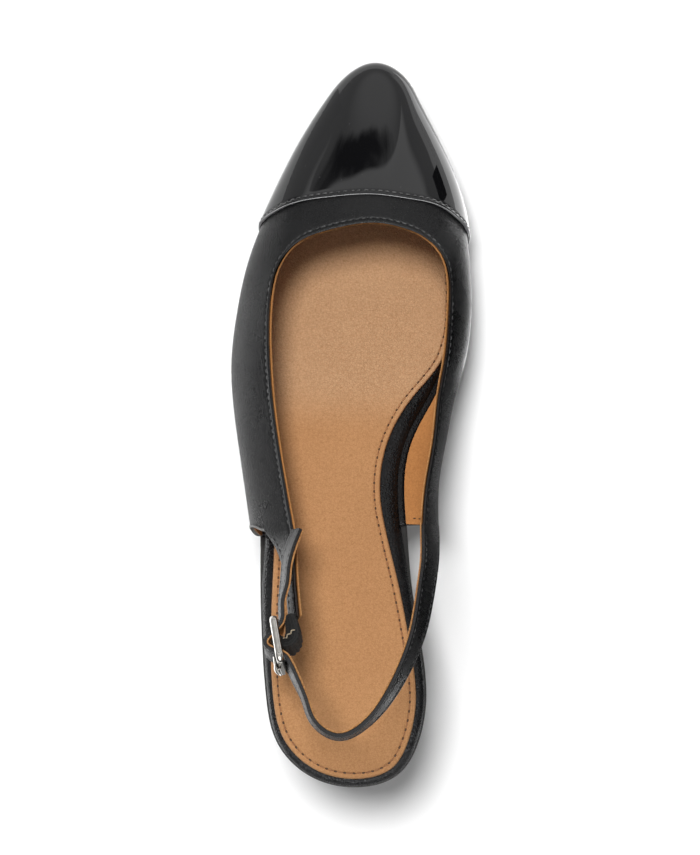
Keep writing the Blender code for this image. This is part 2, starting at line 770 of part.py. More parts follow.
def make_buckle(buckle, metal, collection, cutters):
    """Frame with its centre bar, and the prong over the rear bar."""
    corner_steps = 4
    outline = []
    for quarter, (side_a, side_b) in enumerate(((1, 1), (-1, 1), (-1, -1), (1, -1))):
        for step in range(corner_steps + 1):
            angle = (quarter + step / corner_steps) * pi / 2
            a = side_a * (BUCKLE_HALF_LENGTH - BUCKLE_CORNER) + BUCKLE_CORNER * cos(angle)
            b = side_b * (BUCKLE_HALF_HEIGHT - BUCKLE_CORNER) + BUCKLE_CORNER * sin(angle)
            outline.append(buckle.place(a, 0.0, b))
    frame = tube("buckle_frame", outline, FRAME_RADIUS, collection, True, metal)
    ends = [buckle.place(0.0, 0.0, side * BUCKLE_HALF_HEIGHT) for side in (-1, 1)]
    bar = as_cutter(tube("centre_bar", ends, BAR_RADIUS, cutters))
    combine(frame, bar, "UNION")

    ring = BAR_RADIUS + GAP + PRONG_RADIUS
    rest = FRAME_RADIUS + GAP + PRONG_RADIUS
    path = []
    for degrees in range(-270, 1, 30):
        path.append((ring * sin(radians(degrees)), ring * cos(radians(degrees))))
    path += [(BUCKLE_HALF_LENGTH / 2, (ring + rest) / 2), (BUCKLE_HALF_LENGTH, rest)]
    path.append((BUCKLE_HALF_LENGTH + PRONG_TIP, rest - PRONG_DROOP))
    points = [buckle.place(a, n) for a, n in path]
    tube("buckle_prong", points, PRONG_RADIUS, collection, False, metal)
    tongue = [buckle.place(a, n) for a, n in path[-4:]]
    return as_cutter(tube("prong_hole", tongue, PRONG_RADIUS + GAP, cutters))


def make_elastic(buckle, finish, collection, cutters):
    """Elastic from the tab's end round the centre bar, slotted for the prong."""
    inner = BAR_RADIUS + GAP
    outer = inner + ELASTIC_THICKNESS / 2
    half = ELASTIC_THICKNESS / 2
    start = np.array(ELASTIC_START)
    lead = unit(-start)
    side = np.array([-lead[1], lead[0]]) * half
    joint = np.arcsin(half / outer)
    heading = np.arctan2(start[1], start[0])
    outline = [start - side, start + side]
    for angle in np.linspace(heading - joint, heading + joint - 2 * pi, ELASTIC_STEPS):
        outline.append(outer * np.array([cos(angle), sin(angle)]))
    hole = []
    for angle in np.linspace(0, 2 * pi, ELASTIC_STEPS, endpoint=False):
        hole.append(inner * np.array([cos(angle), sin(angle)]))
    curve = bpy.data.curves.new("elastic", "CURVE")
    curve.dimensions = "2D"
    curve.fill_mode = "BOTH"
    curve.extrude = ELASTIC_WIDTH / 2 * MM
    for loop in (outline, hole):
        run = curve.splines.new("POLY")
        run.points.add(len(loop) - 1)
        for place, point in zip(run.points, loop):
            place.co = (point[0] * MM, point[1] * MM, 0.0, 1.0)
        run.use_cyclic_u = True
    drawn = bpy.data.objects.new("elastic_curve", curve)
    collection.objects.link(drawn)
    bpy.context.view_layer.update()
    elastic = solid_from_curve(drawn, "elastic_tab", finish, collection)
    elastic.matrix_world = buckle.matrix()
    bm = bmesh.new()
    bmesh.ops.create_cube(bm, size=1.0)
    size = (3 * outer * MM, 3 * outer * MM, ELASTIC_SLOT * MM)
    bmesh.ops.scale(bm, vec=size, verts=bm.verts)
    mesh = bpy.data.meshes.new("elastic_slot")
    bm.to_mesh(mesh)
    bm.free()
    slot = as_cutter(add_object("elastic_slot", mesh, None, cutters))
    slot.matrix_world = buckle.matrix()
    combine(elastic, slot, "DIFFERENCE")


def main():
    """Build every piece of the shoe."""
    for thing in list(bpy.data.objects):
        bpy.data.objects.remove(thing)
    shoe = bpy.data.collections.new("cap_toe_slingback")
    cutters = bpy.data.collections.new("cutters")
    for collection in (shoe, cutters):
        bpy.context.scene.collection.children.link(collection)

    black_leather = material("black_leather", (0.018, 0.018, 0.020), 0.45)
    patent = material("black_patent", (0.010, 0.010, 0.012), 0.08)
    wrap = material("black_wrap_leather", (0.016, 0.016, 0.017), 0.5)
    tan = material("tan_leather", (0.46, 0.25, 0.12), 0.55)
    resin = material("black_resin", (0.020, 0.020, 0.020), 0.5)
    covered = material("black_covered_heel", (0.016, 0.016, 0.018), 0.4)
    rubber = material("black_rubber", (0.025, 0.025, 0.025), 0.75)
    nickel = material("nickel", (0.62, 0.60, 0.57), 0.22, 1.0)
    textile = material("black_elastic", (0.015, 0.015, 0.015), 0.85)

    outline = Outline(per_row=2)
    rows = np.arange(1, len(SOLE) + 1)
    margins = [np.interp(outline.places, rows, [row[side] for row in SOLE]) for side in (3, 4)]
    whole = (outline.lateral, outline.medial)
    plate("outsole", whole, 0.0, OUTSOLE_THICKNESS, resin, shoe)
    insets = (FOOTBED_HEEL_INSET, FOOTBED_WALL_INSET)
    board_margin = np.interp(outline.places, (FIRST_WALL_ROW, FIRST_WALL_ROW + 1), insets)
    board = outline.inset(board_margin, board_margin)
    height = OUTSOLE_THICKNESS + GAP
    plate("footbed", board, height, FOOTBED_THICKNESS, wrap, shoe, rim=FOOTBED_RIM)
    height += FOOTBED_THICKNESS + GAP
    plate("insole_sock", outline.inset(*margins), height, SOCK_THICKNESS, tan, shoe)

    surface = UpperSurface()
    cap_line = CapLine(surface)
    columns = make_upper(surface, cap_line, black_leather, shoe)
    make_toe_cap(surface, cap_line, columns, patent, shoe)
    make_heel(covered, rubber, shoe)

    buckle = BuckleFrame()
    strap = make_strap(surface, buckle, black_leather, shoe)
    hole = make_buckle(buckle, nickel, shoe, cutters)
    combine(strap, hole, "DIFFERENCE")
    make_elastic(buckle, textile, shoe, cutters)


main()
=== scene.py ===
"""Looks of a left slingback pump with a patent toe cap and a kitten heel.

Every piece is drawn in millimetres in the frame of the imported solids: the toe points to +Y, the
medial side of the foot to +X, and the floor is z = 0. A station is a distance along the shoe from
the rear of the heel seat. Meshes are turned to metres when they are made.
"""

import logging
from dataclasses import dataclass
from enum import Enum
from functools import reduce
from math import cos, pi, radians, sin
from typing import Sequence

import bmesh
import bpy
import numpy as np
from mathutils import Matrix, Vector


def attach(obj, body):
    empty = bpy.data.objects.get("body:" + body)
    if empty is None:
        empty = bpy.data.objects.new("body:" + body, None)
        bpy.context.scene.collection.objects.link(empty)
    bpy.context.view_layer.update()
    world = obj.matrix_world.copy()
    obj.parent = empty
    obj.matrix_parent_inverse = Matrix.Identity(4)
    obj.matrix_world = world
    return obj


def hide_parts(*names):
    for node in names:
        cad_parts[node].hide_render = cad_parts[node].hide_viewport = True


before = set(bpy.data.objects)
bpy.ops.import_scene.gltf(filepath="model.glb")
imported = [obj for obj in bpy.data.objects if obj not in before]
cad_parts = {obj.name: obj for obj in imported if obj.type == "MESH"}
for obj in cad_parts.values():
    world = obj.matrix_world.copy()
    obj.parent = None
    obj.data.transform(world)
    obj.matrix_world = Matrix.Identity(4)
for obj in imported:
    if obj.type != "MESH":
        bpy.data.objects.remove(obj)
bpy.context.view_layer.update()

MM = 0.001
UP = np.array([0.0, 0.0, 1.0])
BODY = "root"
# Distance within which points are welded, and small steps from which directions are found
WELD = 0.002
FINE_STEP = 0.5
FINE_SHARE = 0.004
# Rims that turn by more than these degrees are rounded
SHARP_ANGLE = 50

Array = np.ndarray
Colour = tuple[float, float, float]
Material = bpy.types.Material
Mesh = bpy.types.Mesh
Node = bpy.types.Node
Socket = bpy.types.NodeSocket
Thing = bpy.types.Object
Tree = bpy.types.NodeTree
Value = Socket | float | tuple
log = logging.getLogger("slingback")


class Slot(Enum):
    """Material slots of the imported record."""

    LEATHER = "upper_leather"
    PATENT = "cap_patent"
    WRAP = "footbed_wrap"
    TAN = "sock_tan"
    RESIN = "outsole_resin"
    COVER = "heel_cover"
    RUBBER = "lift_rubber"
    NICKEL = "buckle_nickel"
    ELASTIC = "elastic_textile"


class Side(Enum):
    """Side of the left foot, as its column in the tables."""

    LATERAL = 1
    MEDIAL = 2


# Plain geometry

def unit(vectors: Array) -> Array:
    """Vectors of length one along the last axis."""
    return vectors / np.maximum(np.linalg.norm(vectors, axis=-1, keepdims=True), 1e-9)


def running(points: Array) -> Array:
    """Running distance along a list of points."""
    steps = np.linalg.norm(np.diff(points, axis=0), axis=1)
    return np.concatenate([[0.0], np.cumsum(steps)])


def bell(distance: Array, centre: float, width: float) -> Array:
    """Soft bump of height one about a centre."""
    return np.exp(-((distance - centre) / width) ** 2)


def smooth(share: Array) -> Array:
    """Share from 0 to 1 eased at both ends."""
    share = np.clip(share, 0.0, 1.0)
    return share * share * (3 - 2 * share)


def rounded(share: Array) -> Array:
    """Quarter circle that climbs from 0 to 1 and stays level after a share of 1."""
    return np.sqrt(1 - (1 - np.clip(share, 0, 1)) ** 2)


@dataclass(frozen=True)
class Relief:
    """Rolled edge and sunk seam: rise, depth under the edge and width of the roll, then of the groove."""

    rise: float
    roll: float
    roll_width: float
    groove: float
    seam: float
    seam_width: float

    def at(self, depth: Array) -> Array:
        """Height of the relief at distances from the edge."""
        groove = self.groove * bell(depth, self.seam, self.seam_width)
        return self.rise * bell(depth, self.roll, self.roll_width) - groove


def edge_distances(grid: Array) -> tuple[Array, Array]:
    """Distances of a grid's points from its last column and from its first, along the rows."""
    first = np.array([running(row) for row in grid])
    return first[:, -1:] - first, first


def heading(path: Array, closed: bool) -> Array:
    """Unit directions along a path, which may be a loop."""
    ahead = np.roll(path, -1, axis=0) - np.roll(path, 1, axis=0) if closed else np.gradient(path, axis=0)
    return unit(ahead)


def grid_normals(grid: Array) -> Array:
    """Unit directions square to a grid of points in rows and columns."""
    return unit(np.cross(np.gradient(grid, axis=1), np.gradient(grid, axis=0)))


class SmoothCurve:
    """Natural cubic curve through values at rising knots."""

    def __init__(self, knots: Sequence[float], values: Sequence) -> None:
        """Solve the bends of the curve.

        Args:
            knots: rising places along the curve.
            values: a number or a row of numbers for each knot.
        """
        self.knots = np.asarray(knots, float)
        self.values = np.asarray(values, float)
        steps = np.diff(self.knots)
        system = np.eye(len(self.knots))
        target = np.zeros_like(self.values)
        for i in range(1, len(steps)):
            system[i, i - 1:i + 2] = steps[i - 1], 2 * (steps[i - 1] + steps[i]), steps[i]
            rise = (self.values[i + 1] - self.values[i]) / steps[i]
            target[i] = 6 * (rise - (self.values[i] - self.values[i - 1]) / steps[i - 1])
        self.bends = np.linalg.solve(system, target)

    def __call__(self, places: Array) -> Array:
        """Values at places along the curve.

        Args:
            places: one place or an array of them, held inside the knots.

        Returns:
            The values, with one more axis where each value is a row.
        """
        place = np.clip(np.asarray(places, float), self.knots[0], self.knots[-1])
        i = np.clip(np.searchsorted(self.knots, place) - 1, 0, len(self.knots) - 2)
        step = self.knots[i + 1] - self.knots[i]
        left = (self.knots[i + 1] - place) / step
        if self.values.ndim > 1:
            left = left[..., None]
            step = step[..., None]
        right = 1 - left
        bend = (left ** 3 - left) * self.bends[i] + (right ** 3 - right) * self.bends[i + 1]
        return left * self.values[i] + right * self.values[i + 1] + bend * step ** 2 / 6


# Meshes and pieces

class MeshBench:
    """Gathers grids of points in millimetres into one mesh."""

    def __init__(self) -> None:
        """Start with nothing."""
        self.points: list[Array] = []
        self.faces: list[Array] = []
        self.finishes: list[Array] = []
        self.runs: list[Array] = []
        self.count = 0

    def add_grid(self, grid: Array, flip: bool = False, around: bool = False,
                 finish: int = 0) -> "MeshBench":
        """Add a grid of points as a surface.

        Args:
            grid: points in rows and columns.
            flip: turn the faces over.
            around: close the columns into a ring.
            finish: number of the surface's material in the piece.

        Returns:
            The bench itself.
        """
        rows, columns, _ = grid.shape
        index = np.arange(rows * columns).reshape(rows, columns)
        if around:
            index = np.hstack([index, index[:, :1]])
        corners = [index[:-1, :-1], index[1:, :-1], index[1:, 1:], index[:-1, 1:]]
        faces = np.stack(corners if flip else corners[::-1], axis=-1).reshape(-1, 4)
        middle = grid[:, columns // 2]
        along = np.repeat(running(middle)[:, None], columns, axis=1)
        widths = np.linalg.norm(np.diff(grid, axis=1), axis=2)
        across = np.concatenate([np.zeros((rows, 1)), np.cumsum(widths, axis=1)], axis=1)
        self.points.append(grid.reshape(-1, 3))
        self.faces.append(faces + self.count)
        self.finishes.append(np.full(len(faces), finish, np.int32))
        self.runs.append(np.stack([along, across], axis=-1).reshape(-1, 2) * MM)
        self.count += rows * columns
        return self

    def mesh(self, name: str) -> Mesh:
        """Mesh of everything added, with doubled points welded.

        Args:
            name: name of the mesh.

        Returns:
            A smooth mesh in metres with a map named run.
        """
        mesh = bpy.data.meshes.new(name)
        mesh.from_pydata((np.vstack(self.points) * MM).tolist(), [], np.vstack(self.faces).tolist())
        runs = np.vstack(self.runs)
        corners = np.zeros(len(mesh.loops), np.int32)
        mesh.loops.foreach_get("vertex_index", corners)
        layer = mesh.uv_layers.new(name="run")
        layer.data.foreach_set("uv", runs[corners].astype(np.float32).ravel())
        mesh.polygons.foreach_set("material_index", np.concatenate(self.finishes))
        bm = bmesh.new()
        bm.from_mesh(mesh)
        bmesh.ops.remove_doubles(bm, verts=bm.verts, dist=WELD * MM)
        bmesh.ops.dissolve_degenerate(bm, edges=bm.edges, dist=WELD * MM / 2)
        bm.to_mesh(mesh)
        bm.free()
        mesh.shade_smooth()
        return mesh


def push(mesh: Mesh, distance: float) -> None:
    """Move a mesh's points along their normals.

    Args:
        mesh: mesh in metres.
        distance: way outward in millimetres.
    """
    count = len(mesh.vertices)
    places = np.zeros(count * 3, np.float32)
    mesh.vertices.foreach_get("co", places)
    normals = np.zeros(count * 3, np.float32)
    mesh.vertex_normals.foreach_get("vector", normals)
    mesh.vertices.foreach_set("co", places + normals * np.float32(distance * MM))
    mesh.update()


@dataclass(frozen=True)
class Placing:
    """How a new piece joins the frame."""

    finish: Material
    slot: Slot
    stands_for: tuple[str, ...] = ()

    def piece(self, name: str, bench: MeshBench) -> Thing:
        """Piece of the shoe from its grids.

        Args:
            name: name of the piece.
            bench: bench with its grids, in place.

        Returns:
            The new object, riding on the shoe's body.
        """
        mesh = bench.mesh(name)
        thing = bpy.data.objects.new(name, mesh)
        mesh.materials.append(self.finish)
        bpy.context.scene.collection.objects.link(thing)
        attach(thing, BODY)
        if self.stands_for:
            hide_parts(*self.stands_for)
        log.info("%s: %d faces", name, len(mesh.polygons))
        return thing

    def sheet(self, name: str, grid: Array, flip: bool = False, around: bool = False) -> Thing:
        """Piece from one grid of points, which may be turned over or closed into a ring."""
        return self.piece(name, MeshBench().add_grid(grid, flip, around))

    def sew(self, name: str, style: "StitchStyle", line: "SeamLine") -> Thing:
        """Piece that is a row of stitches along a line."""
        return self.piece(name, style.row(line))

    def sew_edges(self, name: str, style: "StitchStyle", strap: "SeamLine", depth: float,
                  start: float) -> None:
        """Rows of stitches beside the top and the low edge of a strap.

        Args:
            name: first word of the pieces' names.
            style: size of the stitches.
            strap: points and outward directions of the strap, in rows along it.
            depth: distance of the rows from the edges.
            start: distance along the strap at which they start.
        """
        for edge, turn in (("top", -1), ("low", 1)):
            line = SeamLine(strap.points[:, ::turn], strap.normals[:, ::turn]).beside(depth)
            self.sew(f"{name}_{edge}_stitches", style, line.after(start))

    def shell(self, name: str, bench: MeshBench, thickness: float, radius: float,
              finishes: Sequence[Material], rim: int = 1, steps: int = 3, inset: float = 0.0) -> None:
        """Piece from an open surface that grows thicker inward and has a rounded rim.

        Args:
            name: name of the piece.
            bench: bench with its outer face.
            thickness: thickness in millimetres.
            radius: radius of the rim in millimetres.
            finishes: further materials of the piece.
            rim: steps from the surface's material to the rim's.
            steps: facets of the rounding.
            inset: way in millimetres by which the face is first moved inward.
        """
        thing = self.piece(name, bench)
        push(thing.data, -inset)
        for finish in finishes:
            thing.data.materials.append(finish)
        thicken(thing, thickness, -1.0, rim)
        round_rims(thing, radius, steps)


def thicken(thing: Thing, thickness: float, offset: float, rim: int = 0) -> None:
    """Give an open surface a thickness.

    Args:
        thing: piece to change.
        thickness: thickness in millimetres.
        offset: -1 grows inward and 1 outward.
        rim: steps from the surface's material to the rim's.
    """
    shell = thing.modifiers.new("thickness", "SOLIDIFY")
    shell.thickness = thickness * MM
    shell.offset = offset
    shell.use_quality_normals = True
    shell.material_offset_rim = rim


def round_rims(thing: Thing, radius: float, steps: int = 3) -> None:
    """Round the sharp rims of a piece.

    Args:
        thing: piece to change.
        radius: radius in millimetres.
        steps: facets of the rounding.
    """
    bevel = thing.modifiers.new("rounded rim", "BEVEL")
    bevel.width = radius * MM
    bevel.segments = steps
    bevel.limit_method = "ANGLE"
    bevel.angle_limit = radians(SHARP_ANGLE)


def sample(where: float | Array, places: Array, rows: Array) -> Array:
    """Points between rows of points, at distances along them."""
    return np.stack([np.interp(where, places, rows[:, k]) for k in range(3)], axis=-1)


@dataclass(frozen=True)
class SeamLine:
    """Line that a row of stitches follows, or a strap in rows, with the directions out of the leather."""

    points: Array
    normals: Array

    def beside(self, depth: float) -> "SeamLine":
        """Line along a strap.

        Args:
            depth: distance of the line from the first column of the strap's points.

        Returns:
            The line, with one point for each row of the strap.
        """
        sides = zip([running(row) for row in self.points], self.points, self.normals)
        cuts = np.array([(sample(depth, at, row), sample(depth, at, out)) for at, row, out in sides])
        return SeamLine(cuts[:, 0], cuts[:, 1])

    def after(self, first: float) -> "SeamLine":
        """Line without its first stretch."""
        keep = running(self.points) >= first
        return SeamLine(self.points[keep], self.normals[keep])

    def stations(self, pitch: float) -> tuple[Array, Array, Array]:
        """Even places along the line.

        Args:
            pitch: distance between them.

        Returns:
            Points, directions along the line and directions out of the leather.
        """
        place = running(self.points)
        count = max(2, int(place[-1] / pitch))
        at = (np.arange(count) + 0.5) * place[-1] / count
        ahead = sample(at + FINE_STEP, place, self.points) - sample(at - FINE_STEP, place, self.points)
        return sample(at, place, self.points), unit(ahead), unit(sample(at, place, self.normals))


@dataclass(frozen=True)
class StitchStyle:
    """Size of one stitch of a row, in millimetres."""

    pitch: float
    length: float
    radius: float
    lift: float
    dive: float
    slant: float = 0.0
    shift: float = 0.0

    SIDES = 8
    RINGS = (-1.0, -0.88, -0.6, 0.0, 0.6, 0.88, 1.0)
    END_GIRTH = 0.0004

    def row(self, line: SeamLine) -> MeshBench:
        """Row of stitches along a line.

        Args:
            line: line that the row follows.

        Returns:
            Bench with small arched threads whose ends dive into the leather.
        """
        centres, ahead, outward = line.stations(self.pitch)
        beside = unit(np.cross(outward, ahead))
        turn = np.where(np.arange(len(centres)) % 2, 1.0, -1.0)[:, None] * radians(self.slant)
        ahead = unit(ahead * np.cos(turn) + beside * np.sin(turn))
        beside = unit(np.cross(outward, ahead))
        centres = centres + ahead * self.shift * self.pitch
        rings = np.array(self.RINGS)
        arch = self.lift - (self.lift + self.dive) * rings ** 2
        girth = self.radius * np.sqrt(np.maximum(1.0 - rings ** 4, self.END_GIRTH))
        angles = np.arange(self.SIDES) * 2 * pi / self.SIDES
        bench = MeshBench()
        for centre, along, out, side in zip(centres, ahead, outward, beside):
            spine = centre + along * (rings * self.length / 2)[:, None] + out * arch[:, None]
            circle = out * np.sin(angles)[:, None] + side * np.cos(angles)[:, None]
            bench.add_grid(spine[:, None, :] + circle * girth[:, None, None], around=True)
        return bench


# The last and the surfaces drawn on it

@dataclass(frozen=True)
class Last:
    """Form of the foot that the shoe is drawn on."""

    length: float = 254.0
    heel_height: float = 45.0
    toe_spring: float = 7.5
    tread_back: float = 165.0
    tread_front: float = 205.0
    arch_fullness: float = 0.85
    past_tip: float = 1.2

    def along(self, station: float | Array) -> float | Array:
        """Y of a station."""
        return station - self.length / 2

    def underside(self, y: float | Array) -> float | Array:
        """Height of the sole's underside: heel seat and arch, flat tread, toe spring.

        Args:
            y: place along the shoe.

        Returns:
            Its height over the floor.
        """
        back = self.along(self.tread_back)
        front = self.along(self.tread_front)
        climb = np.clip((back - y) / (back + self.length / 2), 0.0, 1.0) ** self.arch_fullness
        spring = np.clip((y - front) / (self.length / 2 - front), 0.0, self.past_tip)
        return self.heel_height * (3 * climb ** 2 - 2 * climb ** 3) + self.toe_spring * spring ** 2

    def over_sole(self, y: float | Array, distance: float | Array) -> float | Array:
        """Height of a layer at a distance over the underside, measured square to it."""
        rise = self.underside(y + FINE_STEP) - self.underside(y - FINE_STEP)
        return self.underside(y) + distance * np.sqrt(1 + (rise / (2 * FINE_STEP)) ** 2)


@dataclass(frozen=True)
class SoleTable:
    """Plan of the sole: station, x of both sides, and the sock's margin on both sides."""

    rear: tuple = (0.0, 1.7)
    tip: tuple = (249.7, 8.6)
    first_wall_row: int = 5
    rows: tuple = (
        (5.0, -15.2, 18.0, 3.3, 3.3),
        (16.0, -25.0, 24.5, 3.0, 3.5),
        (30.0, -28.5, 27.0, 2.7, 3.5),
        (50.0, -30.3, 25.0, 3.3, 3.7),
        (70.0, -31.3, 21.6, 4.5, 4.3),
        (90.0, -31.9, 19.8, 5.2, 7.4),
        (106.0, -33.4, 19.1, 4.8, 8.6),
        (120.0, -35.4, 22.0, 4.2, 8.2),
        (134.0, -37.4, 29.2, 3.2, 6.7),
        (148.0, -38.2, 35.0, 2.6, 3.0),
        (165.0, -36.6, 38.0, 2.4, 2.4),
        (184.0, -32.3, 37.6, 2.4, 2.4),
        (205.0, -24.2, 35.0, 2.4, 2.4),
        (225.0, -14.0, 27.0, 2.4, 2.4),
        (240.0, -4.1, 19.1, 2.4, 2.4),
        (248.0, 3.4, 13.4, 2.4, 2.4),
    )


class Outline:
    """Sole outline as two matched sides, from the rear point to the tip."""

    WRAP = 4
    PER_ROW = 12

    def __init__(self, last: Last, table: SoleTable) -> None:
        """Draw the outline.

        Args:
            last: the shoe's last.
            table: plan of the sole.
        """
        sides = [[(last.along(row[0]), row[side.value]) for row in table.rows] for side in Side]
        rear = (last.along(table.rear[0]), table.rear[1])
        tip = (last.along(table.tip[0]), table.tip[1])
        loop = [rear, *sides[0], tip, *sides[1][::-1]]
        around = np.array(loop[-self.WRAP:] + loop + loop[:self.WRAP + 1])
        knots = running(around)
        curve = SmoothCurve(knots, around)
        rows = len(table.rows) + 2
        index = np.arange(rows)
        self.places = np.linspace(0, rows - 1, (rows - 1) * self.PER_ROW + 1)
        lateral = knots[self.WRAP:self.WRAP + rows]
        medial = knots[self.WRAP + rows - 1:self.WRAP + 2 * rows - 1][::-1]
        self.lateral = curve(np.interp(self.places, index, lateral))
        self.medial = curve(np.interp(self.places, index, medial))

    def inset(self, lateral_margin: Array, medial_margin: Array) -> tuple[Array, Array]:
        """Both sides moved square to the outline.

        Args:
            lateral_margin: way inward at each point of the lateral side.
            medial_margin: the same for the medial side.

        Returns:
            The moved sides, as rows of y and x.
        """
        loop = np.vstack([self.lateral, self.medial[-2:0:-1]])
        margins = np.concatenate([lateral_margin, medial_margin[-2:0:-1]])
        tangent = np.roll(loop, -1, axis=0) - np.roll(loop, 1, axis=0)
        inward = unit(np.column_stack([-tangent[:, 1], tangent[:, 0]]))
        moved = loop + inward * margins[:, None]
        count = len(self.lateral)
        medial = np.vstack([moved[:1], moved[count:][::-1], moved[count - 1:count]])
        return moved[:count], medial


@dataclass(frozen=True)
class UpperTable:
    """Guide lines of the upper's outer face and the edge of the toe cap."""

    outsole: float = 2.8
    foot_gap: float = 0.45
    wall: float = 1.8
    tuck_share: float = 0.3
    wall_power: float = 2.4
    roundness: tuple = ((120.0, 0.35), (230.0, 0.5))
    widest_tip: tuple = (253.1, 8.6, 6.0)
    throat_front: tuple = (196.0, 6.5, 37.0)
    # Station, lateral x, medial x, height over the foot of the wall
    widest: tuple = (
        (90.0, -34.3, 31.3, 15.0),
        (106.0, -37.0, 31.5, 16.0),
        (120.0, -39.4, 33.9, 16.5),
        (134.0, -41.5, 36.7, 16.5),
        (148.0, -42.3, 40.5, 16.5),
        (165.0, -40.6, 42.6, 16.0),
        (184.0, -36.4, 41.9, 15.5),
        (205.0, -28.0, 38.7, 14.0),
        (225.0, -18.0, 30.8, 12.0),
        (240.0, -8.5, 23.2, 9.0),
        (248.0, -1.9, 18.4, 7.0),
    )
    # Station, x and rise over the underside, lateral then medial
    collar: tuple = (
        (91.0, -18.8, 32.2, 91.0, 26.6, 34.5),
        (106.0, -21.8, 33.0, 105.5, 27.8, 35.0),
        (120.0, -24.4, 33.4, 120.0, 30.2, 35.0),
        (134.0, -26.5, 34.8, 134.5, 31.6, 35.5),
        (147.0, -27.7, 35.9, 148.0, 33.8, 36.5),
        (160.0, -28.2, 36.2, 162.0, 35.0, 36.7),
        (172.0, -27.5, 35.5, 174.5, 35.3, 36.0),
        (181.0, -25.2, 35.5, 184.3, 32.8, 36.0),
        (188.3, -19.4, 36.0, 190.6, 26.8, 36.3),
        (192.8, -10.0, 36.5, 194.0, 19.5, 36.7),
        (195.0, -1.0, 37.0, 195.6, 13.0, 37.0),
    )
    # X and station of the cap's rear edge
    cap_line: tuple = (
        (-36.7, 188.0), (-34.3, 192.6), (-31.5, 196.6), (-27.5, 199.5), (-20.9, 202.4),
        (-6.8, 204.9), (7.6, 205.8), (22.0, 204.0), (33.5, 200.5), (38.3, 196.8),
        (40.5, 194.0), (41.9, 189.8), (42.9, 185.0),
    )
    cap_run_back: float = 7.0


